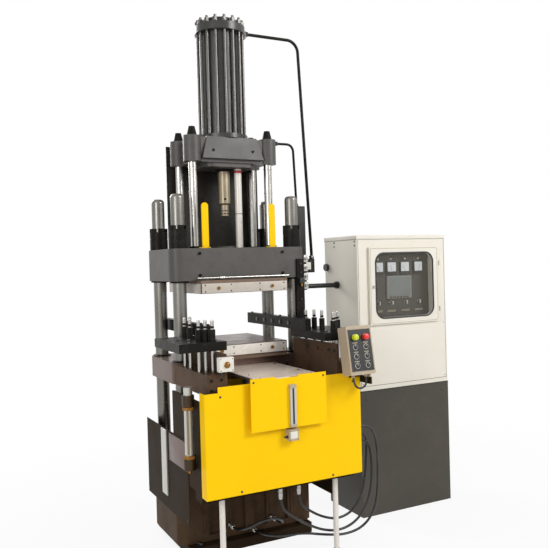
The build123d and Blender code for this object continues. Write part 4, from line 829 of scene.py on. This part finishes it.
def make_instruments():
    """Meters, screen, switches and bare strips behind the window."""
    cases = [((x0 - 0.004, PANEL_FACE - 0.014, 1.417), (x1 + 0.004, PANEL_FACE + 0.001, 1.495))
             for x0, x1 in METERS]
    slabs("meter_cases", cases, BLACK_PLASTIC, PRESS, 0.003)
    faces = [((x0, PANEL_FACE - 0.0155, 1.436), (x1, PANEL_FACE - 0.0130, 1.491)) for x0, x1 in METERS]
    slabs("meter_faces", faces, METER_FACE, PRESS, 0.001)
    needles = bmesh.new()
    for (x0, x1), lean in zip(METERS, NEEDLE_LEANS):
        middle = ((x0 + x1) / 2, PANEL_FACE - 0.0158, 1.440)
        where = Matrix.Translation(middle) @ Matrix.Rotation(radians(lean), 4, "Y")
        slab(needles, (-0.0008, -0.0004, 0.0), (0.0008, 0.0002, 0.036), 0.0002, where)
    piece("meter_needles", needles, BLACK_PLASTIC, PRESS)
    slabs("screen_case", [((0.954, PANEL_FACE - 0.012, 1.270), (1.140, PANEL_FACE + 0.001, 1.410))],
          CASE_GREY, PRESS, 0.005)
    slabs("screen", [((0.968, PANEL_FACE - 0.0130, 1.290), (1.126, PANEL_FACE - 0.0110, 1.400))],
          SCREEN, PRESS, 0.001)
    keys = [((0.972 + i * 0.025, PANEL_FACE - 0.0135, 1.2745),
             (0.990 + i * 0.025, PANEL_FACE - 0.011, 1.2850)) for i in range(6)]
    slabs("screen_keys", keys, PANEL_GREY, PRESS, 0.001)
    places = [(x, PANEL_FACE, 1.247) for x in SWITCHES]
    turnings("panel_switch_collars", [(0.0140, 0.0), (0.0140, 0.003), (0.0125, 0.0045), (0.0110, 0.0045)],
             places, FRONT, CHROME, PRESS)
    turnings("panel_switches", [(0.0108, 0.0), (0.0108, 0.009), (0.0095, 0.011), (0.0010, 0.011)],
             places, FRONT, BLACK_PLASTIC, PRESS)
    grips = [((x - 0.0032, PANEL_FACE - 0.019, 1.2365), (x + 0.0032, PANEL_FACE - 0.009, 1.2575))
             for x in SWITCHES]
    slabs("panel_switch_grips", grips, WHITE_PLASTIC, PRESS, 0.0012)
    strips = [((x - 0.030, PANEL_FACE - 0.0015, 1.191), (x + 0.030, PANEL_FACE + 0.0005, 1.203))
              for x in SWITCHES]
    slabs("panel_strips", strips, PALE_STRIP, PRESS, 0.0005)
    lamps = [(x, PANEL_FACE, 1.512) for x in SWITCHES]
    turnings("panel_lamps", [(0.0070, 0.0), (0.0070, 0.003), (0.0055, 0.0055), (0.0010, 0.0070)],
             lamps, FRONT, WHITE_PLASTIC, PRESS)


for make in (make_cords, make_pendant, make_hot_covers, make_columns, make_plunger, make_beam,
             make_platens, make_lifts, make_limit_box, make_duct, make_guard, make_sides,
             make_cabinet, make_instruments):
    make()


# Floor, light and camera

def seen_directly(tree):
    """1 for what the camera sees, also in a mirror or through glass."""
    path = tree.nodes.new("ShaderNodeLightPath")
    total = path.outputs["Is Camera Ray"]
    for kind in ("Is Glossy Ray", "Is Transmission Ray"):
        either = tree.nodes.new("ShaderNodeMath")
        either.operation = "MAXIMUM"
        tree.links.new(total, either.inputs[0])
        tree.links.new(path.outputs[kind], either.inputs[1])
        total = either.outputs[0]
    return total


def make_floor():
    """Pale floor that keeps the shadows near the machine and fades into white."""
    mesh = bpy.data.meshes.new("floor")
    corners = [(x * FLOOR_REACH, y * FLOOR_REACH, 0) for x, y in ((-1, -1), (1, -1), (1, 1), (-1, 1))]
    mesh.from_pydata(corners, [], [(0, 1, 2, 3)])
    floor = bpy.data.objects.new("floor", mesh)
    bpy.context.scene.collection.objects.link(floor)
    material = bpy.data.materials.new("floor")
    material.use_nodes = True
    tree = material.node_tree
    tree.nodes.clear()
    out = tree.nodes.new("ShaderNodeOutputMaterial")
    matt = tree.nodes.new("ShaderNodeBsdfDiffuse")
    matt.inputs["Color"].default_value = grey(FLOOR_LEVEL)
    white = tree.nodes.new("ShaderNodeEmission")
    white.inputs["Strength"].default_value = 1.0
    place = tree.nodes.new("ShaderNodeTexCoord")
    centred = tree.nodes.new("ShaderNodeVectorMath")
    centred.operation = "ADD"
    centred.inputs[1].default_value = FLOOR_SHIFT
    away = tree.nodes.new("ShaderNodeVectorMath")
    away.operation = "LENGTH"
    fade = tree.nodes.new("ShaderNodeMapRange")
    fade.interpolation_type = "SMOOTHSTEP"
    fade.inputs["From Min"].default_value = FLOOR_NEAR
    fade.inputs["From Max"].default_value = FLOOR_FAR
    fade.inputs["To Min"].default_value = FLOOR_GLOW
    fade.inputs["To Max"].default_value = 1.0
    tree.links.new(place.outputs["Object"], centred.inputs[0])
    tree.links.new(centred.outputs["Vector"], away.inputs[0])
    tree.links.new(away.outputs["Value"], fade.inputs["Value"])
    share = tree.nodes.new("ShaderNodeMath")
    share.operation = "MULTIPLY"
    tree.links.new(fade.outputs["Result"], share.inputs[1])
    mix = tree.nodes.new("ShaderNodeMixShader")
    tree.links.new(seen_directly(tree), share.inputs[0])
    tree.links.new(share.outputs[0], mix.inputs[0])
    tree.links.new(matt.outputs[0], mix.inputs[1])
    tree.links.new(white.outputs[0], mix.inputs[2])
    tree.links.new(mix.outputs[0], out.inputs["Surface"])
    mesh.materials.append(material)


def make_world():
    """White to the camera and in mirrors, softer as light."""
    world = bpy.data.worlds.new("studio")
    bpy.context.scene.world = world
    world.use_nodes = True
    tree = world.node_tree
    tree.nodes.clear()
    out = tree.nodes.new("ShaderNodeOutputWorld")
    soft = tree.nodes.new("ShaderNodeBackground")
    soft.inputs["Color"].default_value = grey(1.0)
    soft.inputs["Strength"].default_value = SKY_LEVEL
    white = tree.nodes.new("ShaderNodeBackground")
    white.inputs["Color"].default_value = grey(1.0)
    mix = tree.nodes.new("ShaderNodeMixShader")
    tree.links.new(seen_directly(tree), mix.inputs[0])
    tree.links.new(soft.outputs[0], mix.inputs[1])
    tree.links.new(white.outputs[0], mix.inputs[2])
    tree.links.new(mix.outputs[0], out.inputs["Surface"])


def lamp(name, place, target, size, watts):
    """Round soft light aimed at a point."""
    light = bpy.data.lights.new(name, "AREA")
    light.shape = "DISK"
    light.size = size
    light.energy = watts
    holder = bpy.data.objects.new(name, light)
    bpy.context.scene.collection.objects.link(holder)
    holder.location = place
    aim = Vector(target) - Vector(place)
    holder.rotation_euler = aim.to_track_quat("-Z", "Y").to_euler()


def make_camera():
    """Camera at the photograph's place, turned by its yaw, pitch and roll."""
    forward = Vector((sin(CAMERA_YAW), cos(CAMERA_YAW), 0))
    right = Vector((cos(CAMERA_YAW), -sin(CAMERA_YAW), 0))
    up = Vector((0, 0, 1))
    level_up = up * cos(CAMERA_PITCH) - forward * sin(CAMERA_PITCH)
    ahead = forward * cos(CAMERA_PITCH) + up * sin(CAMERA_PITCH)
    across = right * cos(CAMERA_ROLL) + level_up * sin(CAMERA_ROLL)
    over = level_up * cos(CAMERA_ROLL) - right * sin(CAMERA_ROLL)
    camera = bpy.data.cameras.new("camera")
    camera.sensor_width = SENSOR_MM
    camera.lens = FOCAL_PIXELS * SENSOR_MM / PHOTO_SIZE
    holder = bpy.data.objects.new("camera", camera)
    bpy.context.scene.collection.objects.link(holder)
    turn = Matrix((across, over, -ahead)).transposed().to_4x4()
    holder.matrix_world = Matrix.Translation(CAMERA_PLACE) @ turn
    bpy.context.scene.camera = holder


make_floor()
make_world()
for values in LAMPS:
    lamp(*values)
make_camera()
bpy.context.scene.view_settings.view_transform = "Standard"
